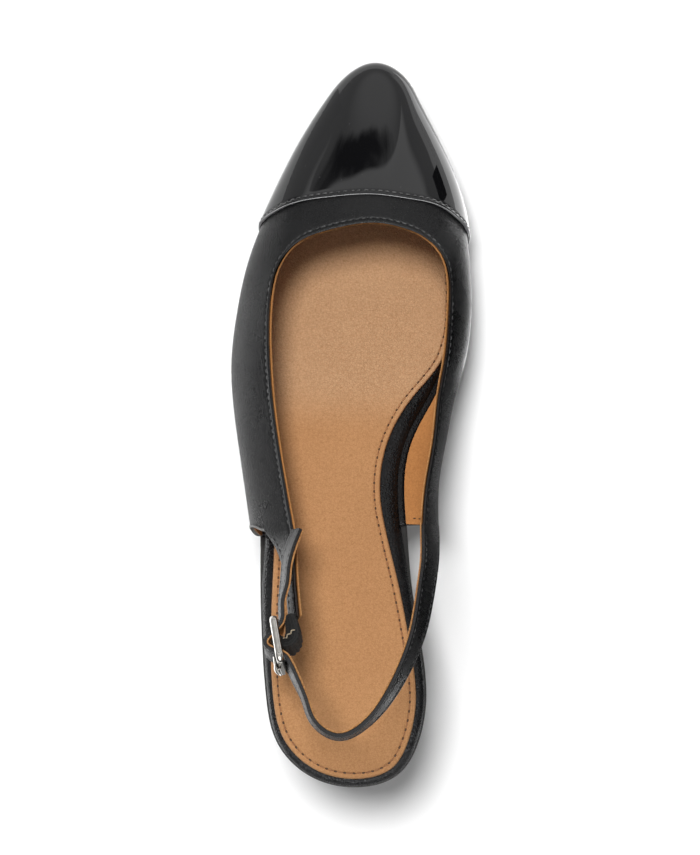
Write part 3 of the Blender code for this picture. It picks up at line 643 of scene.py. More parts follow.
class UpperSurface:
    """Outer face of the upper: columns run from the foot of the wall up to the collar.

    Close rows under an edge take at most RIM_SHARE of the face above the widest line, or of
    LEAST_FACE of the column where that face is short.
    """

    SAMPLES = 240
    RIM_SHARE = 0.8
    LEAST_FACE = 0.25
    TIP_REACH = 22.0

    def __init__(self, last: Last, sole: SoleTable, table: UpperTable) -> None:
        """Draw the three guide curves.

        Args:
            last: the shoe's last.
            sole: plan of the sole.
            table: guide lines of the upper.
        """
        self.last = last
        self.table = table
        rows = list(zip(sole.rows[sole.first_wall_row:], table.widest, table.collar))
        lateral, medial = ([
            self.section((low[0], low[side.value]), (wide[0], wide[side.value], wide[3]),
                         high[first:first + 3])
            for low, wide, high in rows] for side, first in ((Side.LATERAL, 0), (Side.MEDIAL, 3)))
        tip = self.section(sole.tip, table.widest_tip, table.throat_front)
        foot, widest, collar = (np.array(points) for points in zip(*lateral, tip, *medial[::-1]))
        knots = running(widest[:, :2])
        self.length = knots[-1]
        self.tip = knots[len(table.widest)]
        self.foot = SmoothCurve(knots, foot)
        self.widest = SmoothCurve(knots, widest)
        self.collar = SmoothCurve(knots, collar)

    def section(self, low: tuple, wide: tuple, high: tuple) -> tuple:
        """Three guide points of one section of the wall.

        Args:
            low: station and x of the sole's edge.
            wide: station, x and height over the foot of the widest line.
            high: station, x and rise over the underside of the collar.

        Returns:
            Points at the foot, the widest line and the collar.
        """
        y = self.last.along(low[0])
        base = self.last.over_sole(y, self.table.outsole + self.table.foot_gap)
        top = self.last.along(high[0])
        return ((low[1], y, base),
                (wide[1], self.last.along(wide[0]), base + wide[2]),
                (high[1], top, self.last.underside(top) + high[2]))

    def points(self, u: Array, v: Array) -> Array:
        """Points of the wall.

        Args:
            u: distances round the upper.
            v: shares of the wall's height, a row for each column.

        Returns:
            Points in columns and rows.
        """
        foot = self.foot(u)[:, None, :]
        widest = self.widest(u)[:, None, :]
        collar = self.collar(u)[:, None, :]
        tuck = self.table.tuck_share
        power = 2 / self.table.wall_power
        low = np.clip(v / tuck, 0, 1) * pi / 2
        reach = np.stack([np.sin(low), np.sin(low), 1 - np.cos(low)], axis=-1)
        angle = np.clip((v - tuck) / (1 - tuck), 0, 1) * pi / 2
        plan = 1 - np.maximum(np.cos(angle), 0.0) ** power
        stations, values = zip(*self.table.roundness)
        round_share = np.interp(widest[..., 1], self.last.along(np.array(stations)), values)
        height = round_share * np.sin(angle) ** power + (1 - round_share) * plan
        face = widest + (collar - widest) * np.stack([plan, plan, height], axis=-1)
        return np.where((v <= tuck)[..., None], foot + (widest - foot) * reach, face)

    def normals(self, u: Array, v: Array) -> Array:
        """Outward directions at points of the wall.

        Args:
            u: distances round the upper.
            v: shares of the wall's height, a row for each column.

        Returns:
            Unit vectors in columns and rows.
        """
        ahead = self.points(np.minimum(u + FINE_STEP, self.length), v)
        behind = self.points(np.maximum(u - FINE_STEP, 0.0), v)
        higher = self.points(u, np.minimum(v + FINE_SHARE, 1.0))
        lower = self.points(u, np.maximum(v - FINE_SHARE, 0.0))
        return unit(np.cross(higher - lower, ahead - behind))

    def shares_below(self, u: Array, top: Array, depths: Array, face_rows: int, tuck_rows: int,
                     least: float = 0.0) -> tuple[Array, Array]:
        """Rows that lie at set depths under an edge and then spread down to the foot.

        Args:
            u: distances round the upper.
            top: share of the wall's height at the edge of each column.
            depths: distances under the edge.
            face_rows: rows between the last depth and the widest line.
            tuck_rows: rows under the widest line.
            least: lowest share that is drawn.

        Returns:
            Shares from the foot up for each column, and their depths under the edge.
        """
        tuck = self.table.tuck_share
        rows = []
        for column, high in zip(u, top):
            fine = np.linspace(high, least, self.SAMPLES)
            path = running(self.points(np.array([column]), fine[None])[0])
            face = path[np.searchsorted(-fine, -tuck)] if high > tuck else 0.0
            room = self.RIM_SHARE * max(face, self.LEAST_FACE * path[-1])
            scale = min(1.0, room / depths[-1])
            near = np.interp(depths * scale, path, fine)
            bend = min(tuck, near[-1])
            middle = np.linspace(near[-1], bend, face_rows + 1)[1:]
            low = np.linspace(bend, least, tuck_rows + 1)[1:]
            rows.append(np.concatenate([near, middle, low])[::-1])
        shares = np.array(rows)
        return shares, edge_distances(self.points(u, shares))[0]

    def columns(self, first: float, last: float, spacing: float, tip_spacing: float) -> Array:
        """Distances round the upper at which it is drawn, closer round the tip.

        Args:
            first: first distance.
            last: last distance.
            spacing: step along the sides.
            tip_spacing: step round the tip.

        Returns:
            Rising distances that end at both limits.
        """
        start, end = self.tip - self.TIP_REACH, self.tip + self.TIP_REACH
        parts = [
            np.linspace(first, start, int((start - first) / spacing) + 2),
            np.linspace(start, end, int(2 * self.TIP_REACH / tip_spacing)),
            np.linspace(end, last, int((last - end) / spacing) + 2)]
        return np.unique(np.concatenate(parts).round(5))


class CapLine:
    """Where the toe cap's rear edge crosses the columns of the upper."""

    SAMPLES = 400
    SEARCH_STEPS = 4000

    def __init__(self, surface: UpperSurface) -> None:
        """Find where the line crosses the widest line on both sides.

        Args:
            surface: outer face of the upper.
        """
        table = np.array(surface.table.cap_line)
        self.surface = surface
        self.tuck = surface.table.tuck_share
        self.back = surface.table.cap_run_back
        self.edge = SmoothCurve(table[:, 0], surface.last.along(table[:, 1]))
        u = np.linspace(0, surface.length, self.SEARCH_STEPS)
        front = u[self.ahead(u, np.full((len(u), 1), self.tuck))[:, 0] > 0]
        self.widest_start = front[0]
        self.widest_end = front[-1]
        self.start = self.widest_start - self.back
        self.end = self.widest_end + self.back

    def ahead(self, u: Array, v: Array) -> Array:
        """Distance by which points of the wall lie in front of the line."""
        points = self.surface.points(u, v)
        return points[..., 1] - self.edge(points[..., 0])

    def shares(self, u: Array) -> Array:
        """Share of the wall's height at which each column meets the line.

        Args:
            u: distances round the upper.

        Returns:
            One share for each column.
        """
        fine = np.linspace(self.tuck, 1.0, self.SAMPLES)
        ahead = self.ahead(u, np.repeat(fine[None], len(u), axis=0))
        result = []
        for column, row in zip(u, ahead):
            inside = min(column - self.widest_start, self.widest_end - column)
            if inside <= 0:
                result.append(self.tuck * max(0.0, 1 + inside / self.back))
                continue
            behind = int(np.argmax(row < 0))
            step = row[behind - 1] / (row[behind - 1] - row[behind])
            result.append(fine[behind - 1] + step * (fine[1] - fine[0]))
        return np.array(result)


def strip(start: Array, tops: Array, lows: Array, blend: float) -> Array:
    """Grid of a strap that leaves a curved edge and flattens.

    Args:
        start: points of the edge it leaves, from low to high.
        tops: upper edge of the strap.
        lows: lower edge of the strap.
        blend: distance within which the edge's curve fades.

    Returns:
        Points in rows along the strap and columns across it.
    """
    shares = running(start) / running(start)[-1]
    bow = start - (start[0] + (start[-1] - start[0]) * shares[:, None])
    run = running(np.vstack([start[-1:], tops]))[1:]
    keep = np.maximum(0.0, 1 - run / blend) ** 2
    flat = lows[:, None, :] + (tops - lows)[:, None, :] * shares[None, :, None]
    return np.concatenate([start[None], flat + bow[None] * keep[:, None, None]])


# Finishes

class NodeBench:
    """Short way to place and join the nodes of one tree."""

    def __init__(self, tree: Tree) -> None:
        """Keep the tree."""
        self.tree = tree

    def add(self, kind: str, values: dict | None = None, **settings: object) -> Node:
        """Add a shader node.

        Args:
            kind: node type without its prefix.
            values: sockets to join, or numbers to set, by input name or number.
            settings: properties of the node.

        Returns:
            The new node.
        """
        node = self.tree.nodes.new("ShaderNode" + kind)
        for name, value in settings.items():
            setattr(node, name, value)
        for key, value in (values or {}).items():
            self.feed(node.inputs[key], value)
        return node

    def feed(self, target: Socket, value: Value) -> None:
        """Join a socket to an input, or set the input's number.

        Args:
            target: the input.
            value: socket, number or row of numbers.
        """
        if isinstance(value, Socket):
            self.tree.links.new(value, target)
        else:
            target.default_value = value

    def math(self, operation: str, *values: Value) -> Socket:
        """Result of a sum on sockets or numbers."""
        return self.add("Math", dict(enumerate(values)), operation=operation).outputs[0]

    def vector(self, operation: str, first: Value, second: Value) -> Socket:
        """Result of a sum on two vectors, or of a vector times a number."""
        key = "Scale" if operation == "SCALE" else 1
        return self.add("VectorMath", {0: first, key: second}, operation=operation).outputs[0]

    def times(self, first: Value, second: Value) -> Socket:
        """Product of two values."""
        return self.math("MULTIPLY", first, second)

    def plus(self, first: Value, second: Value) -> Socket:
        """Sum of two values."""
        return self.math("ADD", first, second)

    def total(self, *parts: tuple) -> Socket:
        """Sum of pairs of a value and its weight."""
        return reduce(self.plus, [self.times(*part) for part in parts])

    def remap(self, value: Value, low: float, high: float, to_low: float = 0.0,
              to_high: float = 1.0) -> Socket:
        """Value eased from the range of the first two numbers to that of the last two."""
        values = {"Value": value, "From Min": low, "From Max": high, "To Min": to_low, "To Max": to_high}
        return self.add("MapRange", values, interpolation_type="SMOOTHSTEP").outputs[0]

    def around(self, value: Value, centre: float, below: float, above: float) -> Socket:
        """Value from 0 to 1 turned to a range about a centre."""
        return self.remap(value, 0.0, 1.0, centre - below, centre + above)

    def mix(self, share: Value, first: Value, second: Value) -> Socket:
        """Colour between two colours, at a share of the second."""
        first, second = ((*side, 1.0) if isinstance(side, tuple) else side for side in (first, second))
        return self.add("Mix", {0: share, 6: first, 7: second}, data_type="RGBA").outputs[2]

    def noise(self, place: Value, scale: Value, detail: float = 2.0, result: str = "Fac") -> Socket:
        """Noise texture at a scale."""
        return self.add("TexNoise", {"Vector": place, "Scale": scale, "Detail": detail}).outputs[result]


class Effects:
    """Shared node groups, each made once and used by several finishes."""

    STIR_SCALE = 0.45
    STIR_REACH = 0.9
    PORE_SCALE = 2.6
    PORE_SHARE = 0.4
    DOME_REACH = 0.30
    CREASE_REACH = 0.11
    PATCH_RANGE = (0.32, 0.68)
    SCRATCH_STRETCH = (1.0, 0.06, 0.5)
    SCRATCH_RANGE = (0.60, 0.72)
    SCUFF_SCALE = 0.03
    SCUFF_RANGE = (0.5, 0.65)
    DUST_SCALE = 0.35
    DUST_REACH = (0.03, 0.12)
    DUST_RARITY = 0.9
    RIB_SHARE = 0.3
    THREAD_SHARE = 0.2

    def __init__(self) -> None:
        """Make the groups."""
        self.pebble = self.make_pebble()
        self.mottle = self.make_mottle()
        self.scuff = self.make_scuff()
        self.weave = self.make_weave()

    @staticmethod
    def start(name: str, numbers: Sequence[str], results: Sequence[str]) -> tuple:
        """New group with a place input.

        Args:
            name: name of the group.
            numbers: names of its number inputs.
            results: names of its outputs.

        Returns:
            The tree, a bench on it, its inputs by name and its output node's inputs.
        """
        tree = bpy.data.node_groups.new(name, "ShaderNodeTree")
        tree.interface.new_socket("Place", in_out="INPUT", socket_type="NodeSocketVector")
        for way, labels in (("INPUT", numbers), ("OUTPUT", results)):
            for label in labels:
                tree.interface.new_socket(label, in_out=way, socket_type="NodeSocketFloat")
        entry = tree.nodes.new("NodeGroupInput")
        leave = tree.nodes.new("NodeGroupOutput")
        return tree, NodeBench(tree), entry.outputs, leave.inputs

    def make_pebble(self) -> Tree:
        """Leather grain: rounded pebbles parted by fine creases.

        Returns:
            The group.
        """
        tree, bench, given, result = self.start("pebble_grain", ["Cells"], ["Height", "Crease"])
        place, cells = given["Place"], given["Cells"]
        stir = bench.noise(place, bench.times(cells, self.STIR_SCALE), 1.0, "Color")
        centred = bench.vector("SUBTRACT", stir, (0.5, 0.5, 0.5))
        bent = bench.vector("SCALE", centred, bench.math("DIVIDE", self.STIR_REACH, cells))
        warped = bench.vector("ADD", place, bent)
        cell = bench.add("TexVoronoi", {"Vector": warped, "Scale": cells}, feature="DISTANCE_TO_EDGE")
        edge = cell.outputs["Distance"]
        pores = bench.noise(place, bench.times(cells, self.PORE_SCALE))
        dome = bench.remap(edge, 0.0, self.DOME_REACH)
        bench.feed(result["Height"], bench.plus(dome, bench.times(pores, self.PORE_SHARE)))
        bench.feed(result["Crease"], bench.remap(edge, 0.0, self.CREASE_REACH, 1.0, 0.0))
        return tree

    def make_mottle(self) -> Tree:
        """Soft uneven patches.

        Returns:
            The group.
        """
        tree, bench, given, result = self.start("soft_mottle", ["Scale"], ["Patch"])
        cloud = bench.noise(given["Place"], given["Scale"], detail=4.0)
        bench.feed(result["Patch"], bench.remap(cloud, *self.PATCH_RANGE))
        return tree

    def make_scuff(self) -> Tree:
        """Fine scratches that run along the shoe, and specks of dust.

        Returns:
            The group.
        """
        tree, bench, given, result = self.start("scuff_and_dust", ["Scale"], ["Scuff", "Dust"])
        place, scale = given["Place"], given["Scale"]
        drawn = bench.vector("MULTIPLY", place, self.SCRATCH_STRETCH)
        lines = bench.remap(bench.noise(drawn, scale, detail=3.0), *self.SCRATCH_RANGE)
        cloud = bench.noise(place, bench.times(scale, self.SCUFF_SCALE))
        bench.feed(result["Scuff"], bench.times(lines, bench.remap(cloud, *self.SCUFF_RANGE)))
        cells = bench.add("TexVoronoi", {"Vector": place, "Scale": bench.times(scale, self.DUST_SCALE)})
        near = bench.remap(cells.outputs["Distance"], *self.DUST_REACH, 1.0, 0.0)
        chosen = bench.add("SeparateColor", {0: cells.outputs["Color"]}).outputs[0]
        rare = bench.math("GREATER_THAN", chosen, self.DUST_RARITY)
        bench.feed(result["Dust"], bench.times(near, rare))
        return tree

    def make_weave(self) -> Tree:
        """Ribs along one way and finer threads along the other.

        Returns:
            The group.
        """
        tree, bench, given, result = self.start("ribbed_weave", ["Ribs", "Threads"], ["Height"])
        parts = bench.add("SeparateXYZ", {0: given["Place"]}).outputs
        ribs = bench.times(parts[1], given["Ribs"])
        threads = bench.plus(bench.times(parts[0], given["Threads"]), ribs)
        rib, thread = (bench.math("SINE", bench.times(turns, 2 * pi)) for turns in (ribs, threads))
        both = bench.total((rib, self.RIB_SHARE), (thread, self.THREAD_SHARE))
        bench.feed(result["Height"], bench.plus(both, 0.5))
        return tree


class Surface:
    """One material under way: its bench, its shader and its coordinates."""

    def __init__(self, name: str, effects: Effects) -> None:
        """Start a material.

        Args:
            name: name of the material.
            effects: the shared groups.
        """
        self.material = bpy.data.materials.new(name)
        self.material.use_nodes = True
        self.bench = NodeBench(self.material.node_tree)
        self.shader = self.material.node_tree.nodes["Principled BSDF"]
        self.effects = effects
        coordinates = self.bench.add("TexCoord")
        self.place = coordinates.outputs["Object"]
        self.run = self.bench.add("UVMap", uv_map="run").outputs[0]

    def group(self, tree: Tree, *numbers: float,
              along: bool = False) -> bpy.types.bpy_prop_collection:
        """Use of a shared group.

        Args:
            tree: the group.
            numbers: its number inputs, in order.
            along: follow the piece's own run in place of the shoe's frame.

        Returns:
            The group's outputs.
        """
        node = self.bench.add("Group", node_tree=tree)
        self.bench.feed(node.inputs["Place"], self.run if along else self.place)
        for target, value in zip(list(node.inputs)[1:], numbers):
            target.default_value = value
        return node.outputs

    def mottle(self, scale: float) -> Socket:
        """Soft patches at a scale."""
        return self.group(self.effects.mottle, scale)["Patch"]

    def set(self, **values: Value) -> None:
        """Set or join inputs of the shader, by name with underscores for spaces."""
        for name, value in values.items():
            self.bench.feed(self.shader.inputs[name.replace("_", " ")], value)

    def bump(self, height: Socket, depth: float, strength: float, below: Socket | None = None) -> Socket:
        """Normal of a relief.

        Args:
            height: relief from 0 to 1.
            depth: depth of the relief in millimetres.
            strength: share of the relief that shows.
            below: normal of a coarser relief under it.

        Returns:
            Socket of the new normal.
        """
        values = {"Height": height, "Distance": depth * MM, "Strength": strength}
        if below is not None:
            values["Normal"] = below
        return self.bench.add("Bump", values).outputs[0]


@dataclass(frozen=True)
class Finish:
    """What every finish shares: a name, and a material that its dress method fills."""

    name: str

    def material(self, effects: Effects) -> Material:
        """Material of the finish.

        Args:
            effects: the shared groups.

        Returns:
            The new material.
        """
        surface = Surface(self.name, effects)
        self.dress(surface)
        return surface.material

    def dress(self, surface: Surface) -> None:
        """Join the nodes of the finish, which each finish does in its own way."""
        raise NotImplementedError(surface.material.name)


@dataclass(frozen=True)
class Leather(Finish):
    """Grained black leather."""

    roughness: float
    cells: float
    depth: float
    shine: float = 0.30
    colour: Colour = (0.0026, 0.0026, 0.0029)
    worn: Colour = (0.010, 0.010, 0.0105)
    patches: float = 55.0
    patch_share: float = 0.5
    dust: float = 900.0
    dust_share: float = 0.8
    spread: tuple = (0.05, 0.06)
    crease_roughness: float = 0.14
    strength: float = 0.75

    def dress(self, surface: Surface) -> None:
        """Join grain, soft wear and dust.

        Args:
            surface: the material under way.
        """
        bench = surface.bench
        grain = surface.group(surface.effects.pebble, self.cells)
        patch = surface.mottle(self.patches)
        dust = surface.group(surface.effects.scuff, self.dust)["Dust"]
        wear = bench.times(grain["Height"], bench.times(patch, self.patch_share))
        wear = bench.plus(wear, bench.times(dust, self.dust_share))
        surface.set(Base_Color=bench.mix(wear, self.colour, self.worn))
        rough = bench.around(patch, self.roughness, *self.spread)
        surface.set(Roughness=bench.plus(rough, bench.times(grain["Crease"], self.crease_roughness)))
        surface.set(Normal=surface.bump(grain["Height"], self.depth, self.strength))
        surface.set(Specular_IOR_Level=self.shine)


@dataclass(frozen=True)
class Patent(Finish):
    """Leather under a thick clear gloss. A wave and a peel are a scale, a depth and a strength."""

    colour: Colour
    haze: Colour
    gloss: float = 0.045
    spread: tuple = (0.015, 0.025)
    patches: float = 90.0
    marks: float = 1100.0
    speck_share: float = 0.9
    scratch_roughness: float = 0.12
    wave: tuple = (75.0, 0.5, 0.35)
    peel: tuple = (620.0, 0.02, 0.3)
    coat_roughness: float = 0.025
    coat_index: float = 1.5
    shine: float = 0.03

    def dress(self, surface: Surface) -> None:
        """Join specks, fine scratches and slow waves under a clear coat.

        Args:
            surface: the material under way.
        """
        bench = surface.bench
        marks = surface.group(surface.effects.scuff, self.marks)
        specks = bench.times(marks["Dust"], self.speck_share)
        surface.set(Base_Color=bench.mix(specks, self.colour, self.haze))
        rough = bench.around(surface.mottle(self.patches), self.gloss, *self.spread)
        surface.set(Roughness=bench.plus(rough, bench.times(marks["Scuff"], self.scratch_roughness)))
        wave = surface.bump(bench.noise(surface.place, self.wave[0]), *self.wave[1:])
        peel = bench.noise(surface.place, self.peel[0], detail=1.0)
        surface.set(Normal=surface.bump(peel, *self.peel[1:], wave), Specular_IOR_Level=self.shine)
        surface.set(Coat_Weight=1.0, Coat_Roughness=self.coat_roughness, Coat_IOR=self.coat_index)


@dataclass(frozen=True)
class Tan(Finish):
    """Tan lining leather, pebbled in front of a line across the shoe and smooth behind it."""

    front: Colour
    rear: Colour
    dark: Colour
    cells: float = 1250.0
    depth: float = 0.16
    strength: float = 0.8
    rear_relief: float = 0.35
    crease_share: float = 0.36
    pores: float = 2.4
    pore_depth_share: float = 0.3
    pore_strength: float = 0.4
    patches: float = 38.0
    patch_share: float = 0.10
    speckle: float = 1100.0
    speckle_share: float = 0.24
    marks: float = 700.0
    mark_share: float = 0.12
    change: tuple = (-0.006, 0.016)
    roughness: float = 0.48
    spread: tuple = (0.10, 0.10)
    shine: float = 0.10

    def dress(self, surface: Surface) -> None:
        """Join grain, pores, speckle and scratches.

        Args:
            surface: the material under way.
        """
        bench = surface.bench
        grain = surface.group(surface.effects.pebble, self.cells)
        pores = surface.group(surface.effects.pebble, self.cells * self.pores)
        patch = surface.mottle(self.patches)
        speckle = surface.mottle(self.speckle)
        scuff = surface.group(surface.effects.scuff, self.marks)["Scuff"]
        y = bench.add("SeparateXYZ", {0: surface.place}).outputs[1]
        ahead = bench.remap(y, *self.change)
        tired = bench.total((patch, self.patch_share), (grain["Crease"], self.crease_share),
                            (speckle, self.speckle_share), (scuff, self.mark_share))
        surface.set(Base_Color=bench.mix(tired, bench.mix(ahead, self.rear, self.front), self.dark))
        surface.set(Roughness=bench.around(speckle, self.roughness, *self.spread))
        relief = bench.times(grain["Height"], bench.remap(ahead, 0.0, 1.0, self.rear_relief, 1.0))
        fine = surface.bump(pores["Height"], self.depth * self.pore_depth_share, self.pore_strength)
        surface.set(Normal=surface.bump(relief, self.depth, self.strength, fine))
        surface.set(Specular_IOR_Level=self.shine)


@dataclass(frozen=True)
class CutEdge(Finish):
    """Cut leather edge with loose fibres."""

    colour: Colour
    pale: Colour
    fibres: float = 2600.0
    fibre_range: tuple = (0.36, 0.64)
    fibre_share: float = 0.75
    patches: float = 160.0
    patch_share: float = 0.2
    roughness: tuple = (0.2, 0.8, 0.6, 0.85)
    depth: float = 0.12
    strength: float = 0.6

    def dress(self, surface: Surface) -> None:
        """Join loose fibres and soft patches.

        Args:
            surface: the material under way.
        """
        bench = surface.bench
        fibre = bench.noise(surface.place, self.fibres, detail=3.0)
        loose = bench.remap(fibre, *self.fibre_range)
        share = bench.total((loose, self.fibre_share), (surface.mottle(self.patches), self.patch_share))
        surface.set(Base_Color=bench.mix(share, self.colour, self.pale))
        surface.set(Roughness=bench.remap(fibre, *self.roughness))
        surface.set(Normal=surface.bump(fibre, self.depth, self.strength))


@dataclass(frozen=True)
class Thread(Finish):
    """Twisted sewing thread."""

    colour: Colour
    pale: Colour
    roughness: float = 0.5
    spread: tuple = (0.08, 0.12)
    twist: tuple = (700.0, 1800.0)
    patches: float = 300.0
    depth: float = 0.08
    strength: float = 0.5

    def dress(self, surface: Surface) -> None:
        """Join the thread's twist and soft patches.

        Args:
            surface: the material under way.
        """
        bench = surface.bench
        twist = surface.group(surface.effects.weave, *self.twist, along=True)["Height"]
        patch = surface.mottle(self.patches)
        surface.set(Base_Color=bench.mix(bench.times(twist, patch), self.colour, self.pale))
        surface.set(Roughness=bench.around(patch, self.roughness, *self.spread))
        surface.set(Normal=surface.bump(twist, self.depth, self.strength))


@dataclass(frozen=True)
class Metal(Finish):
    """Polished plate with fine handling marks."""

    colour: Colour
    dull: Colour
    roughness: float = 0.085
    spread: tuple = (0.05, 0.07)
    patches: float = 420.0
    dull_share: float = 0.35
    marks: float = 2600.0
    mark_roughness: float = 0.15
    depth: float = 0.02
    strength: float = 0.3

    def dress(self, surface: Surface) -> None:
        """Join dull patches and fine scratches.

        Args:
            surface: the material under way.
        """
        bench = surface.bench
        marks = surface.group(surface.effects.scuff, self.marks)["Scuff"]
        patch = surface.mottle(self.patches)
        surface.set(Base_Color=bench.mix(bench.times(patch, self.dull_share), self.colour, self.dull))
        rough = bench.around(patch, self.roughness, *self.spread)
        surface.set(Roughness=bench.plus(rough, bench.times(marks, self.mark_roughness)))
        surface.set(Normal=surface.bump(marks, self.depth, self.strength), Metallic=1.0)


@dataclass(frozen=True)
class Woven(Finish):
    """Ribbed elastic."""

    colour: Colour
    pale: Colour
    weave: tuple = (1100.0, 2300.0)
    fuzz: float = 3000.0
    roughness: tuple = (0.2, 0.8, 0.75, 0.95)
    depth: float = 0.18
    strength: float = 0.7

    def dress(self, surface: Surface) -> None:
        """Join the weave and its fuzz.

        Args:
            surface: the material under way.
        """
        bench = surface.bench
        weave = surface.group(surface.effects.weave, *self.weave, along=True)["Height"]
        fuzz = bench.noise(surface.place, self.fuzz, detail=3.0)
        surface.set(Base_Color=bench.mix(bench.times(weave, fuzz), self.colour, self.pale))
        surface.set(Roughness=bench.remap(fuzz, *self.roughness))
        surface.set(Normal=surface.bump(bench.plus(weave, fuzz), self.depth, self.strength))


@dataclass(frozen=True)
class Resin(Finish):
    """Matt resin or rubber with a fine moulded texture."""

    colour: Colour
    dusty: Colour
    roughness: float
    texture: float
    depth: float
    strength: float = 0.5
    grit_range: tuple = (0.3, 0.7)
    spread: tuple = (0.08, 0.1)
    patches: float = 70.0
    patch_share: float = 0.3
    marks: float = 650.0

    def dress(self, surface: Surface) -> None:
        """Join moulded grit, dust and scratches.

        Args:
            surface: the material under way.
        """
        bench = surface.bench
        grit = bench.noise(surface.place, self.texture, detail=3.0)
        scuff = surface.group(surface.effects.scuff, self.marks)["Scuff"]
        dust = bench.plus(bench.times(surface.mottle(self.patches), self.patch_share), scuff)
        surface.set(Base_Color=bench.mix(dust, self.colour, self.dusty))
        smoother, rougher = self.spread
        ends = (self.roughness - smoother, self.roughness + rougher)
        surface.set(Roughness=bench.remap(grit, *self.grit_range, *ends))
        surface.set(Normal=surface.bump(grit, self.depth, self.strength))


class Look(Enum):
    """Finishes of the shoe's pieces."""

    LEATHER = Leather("fine_black_leather", 0.26, 1350.0, 0.07)
    STRAP = Leather("black_strap_leather", 0.28, 1300.0, 0.05)
    RIM = Leather("burnished_black_rim", 0.20, 2200.0, 0.05, shine=0.6)
    WRAP = Leather("pebbled_black_wrap", 0.27, 850.0, 0.14)
    COVER = Leather("covered_heel_leather", 0.36, 1700.0, 0.07)
    PATENT = Patent("black_patent_gloss", (0.0035, 0.0035, 0.004), (0.03, 0.03, 0.031))
    # Painted highlight: pale grey patent on the cap's folded edge, standing in for the light that the black
    # fold catches.
    FOLD = Patent("patent_fold_painted_highlight", (0.34, 0.34, 0.345), (0.40, 0.40, 0.40))
    SOCK = Tan(
        "tan_sock_leather", (0.53, 0.318, 0.176), (0.455, 0.238, 0.108), (0.24, 0.112, 0.046))
    LINING = Tan(
        "tan_lining_leather", (0.44, 0.195, 0.066), (0.44, 0.195, 0.066), (0.21, 0.088, 0.030),
        cells=1700.0, depth=0.08)
    TAN_EDGE = CutEdge("raw_tan_edge", (0.17, 0.066, 0.020), (0.52, 0.27, 0.10))
    # Painted highlight: the quarter's dark cut edge with its fibres, painted pale grey for the light that it
    # catches.
    BLACK_EDGE = CutEdge("cut_edge_painted_highlight", (0.05, 0.05, 0.05), (0.24, 0.24, 0.235))
    BLACK_THREAD = Thread("black_thread", (0.010, 0.010, 0.010), (0.10, 0.10, 0.10), 0.34)
    BROWN_THREAD = Thread("brown_thread", (0.20, 0.085, 0.035), (0.36, 0.18, 0.08))
    PALE_THREAD = Thread("pale_thread", (0.42, 0.33, 0.22), (0.66, 0.56, 0.42))
    # Dark brown: thread colour for the lining's rear stitches, and painted shade for the dark inside of the
    # sock's needle holes.
    NEEDLE_HOLE = Thread("needle_hole", (0.050, 0.021, 0.009), (0.09, 0.040, 0.017))
    NICKEL = Metal("polished_nickel", (0.48, 0.464, 0.436), (0.27, 0.26, 0.24))
    ELASTIC = Woven("ribbed_black_elastic", (0.004, 0.004, 0.004), (0.030, 0.029, 0.028))
    RESIN = Resin(
        "matt_black_resin", (0.014, 0.014, 0.014), (0.06, 0.057, 0.054), 0.55, 1500.0, 0.06)
    RUBBER = Resin(
        "matt_black_rubber", (0.018, 0.018, 0.018), (0.07, 0.067, 0.063), 0.72, 2200.0, 0.10)


class Wardrobe:
    """Materials of all the finishes."""

    def __init__(self) -> None:
        """Make the shared groups and the materials."""
        effects = Effects()
        self.materials = {look: look.value.material(effects) for look in Look}

    def __getitem__(self, look: Look) -> Material:
        """Material of a finish."""
        return self.materials[look]

    def placing(self, look: Look, slot: Slot, *stands_for: str) -> Placing:
        """How a piece in a finish joins the frame."""
        return Placing(self.materials[look], slot, stands_for)


# Sole

@dataclass(frozen=True)
class PlanGrid:
    """Plan of a plate, closer near its rim: x, y and the distance from the rim."""

    x: Array
    y: Array
    depth: Array

    def at(self, heights: Array) -> Array:
        """Points of the plan at heights."""
        return np.stack([self.x, self.y, heights], axis=-1)


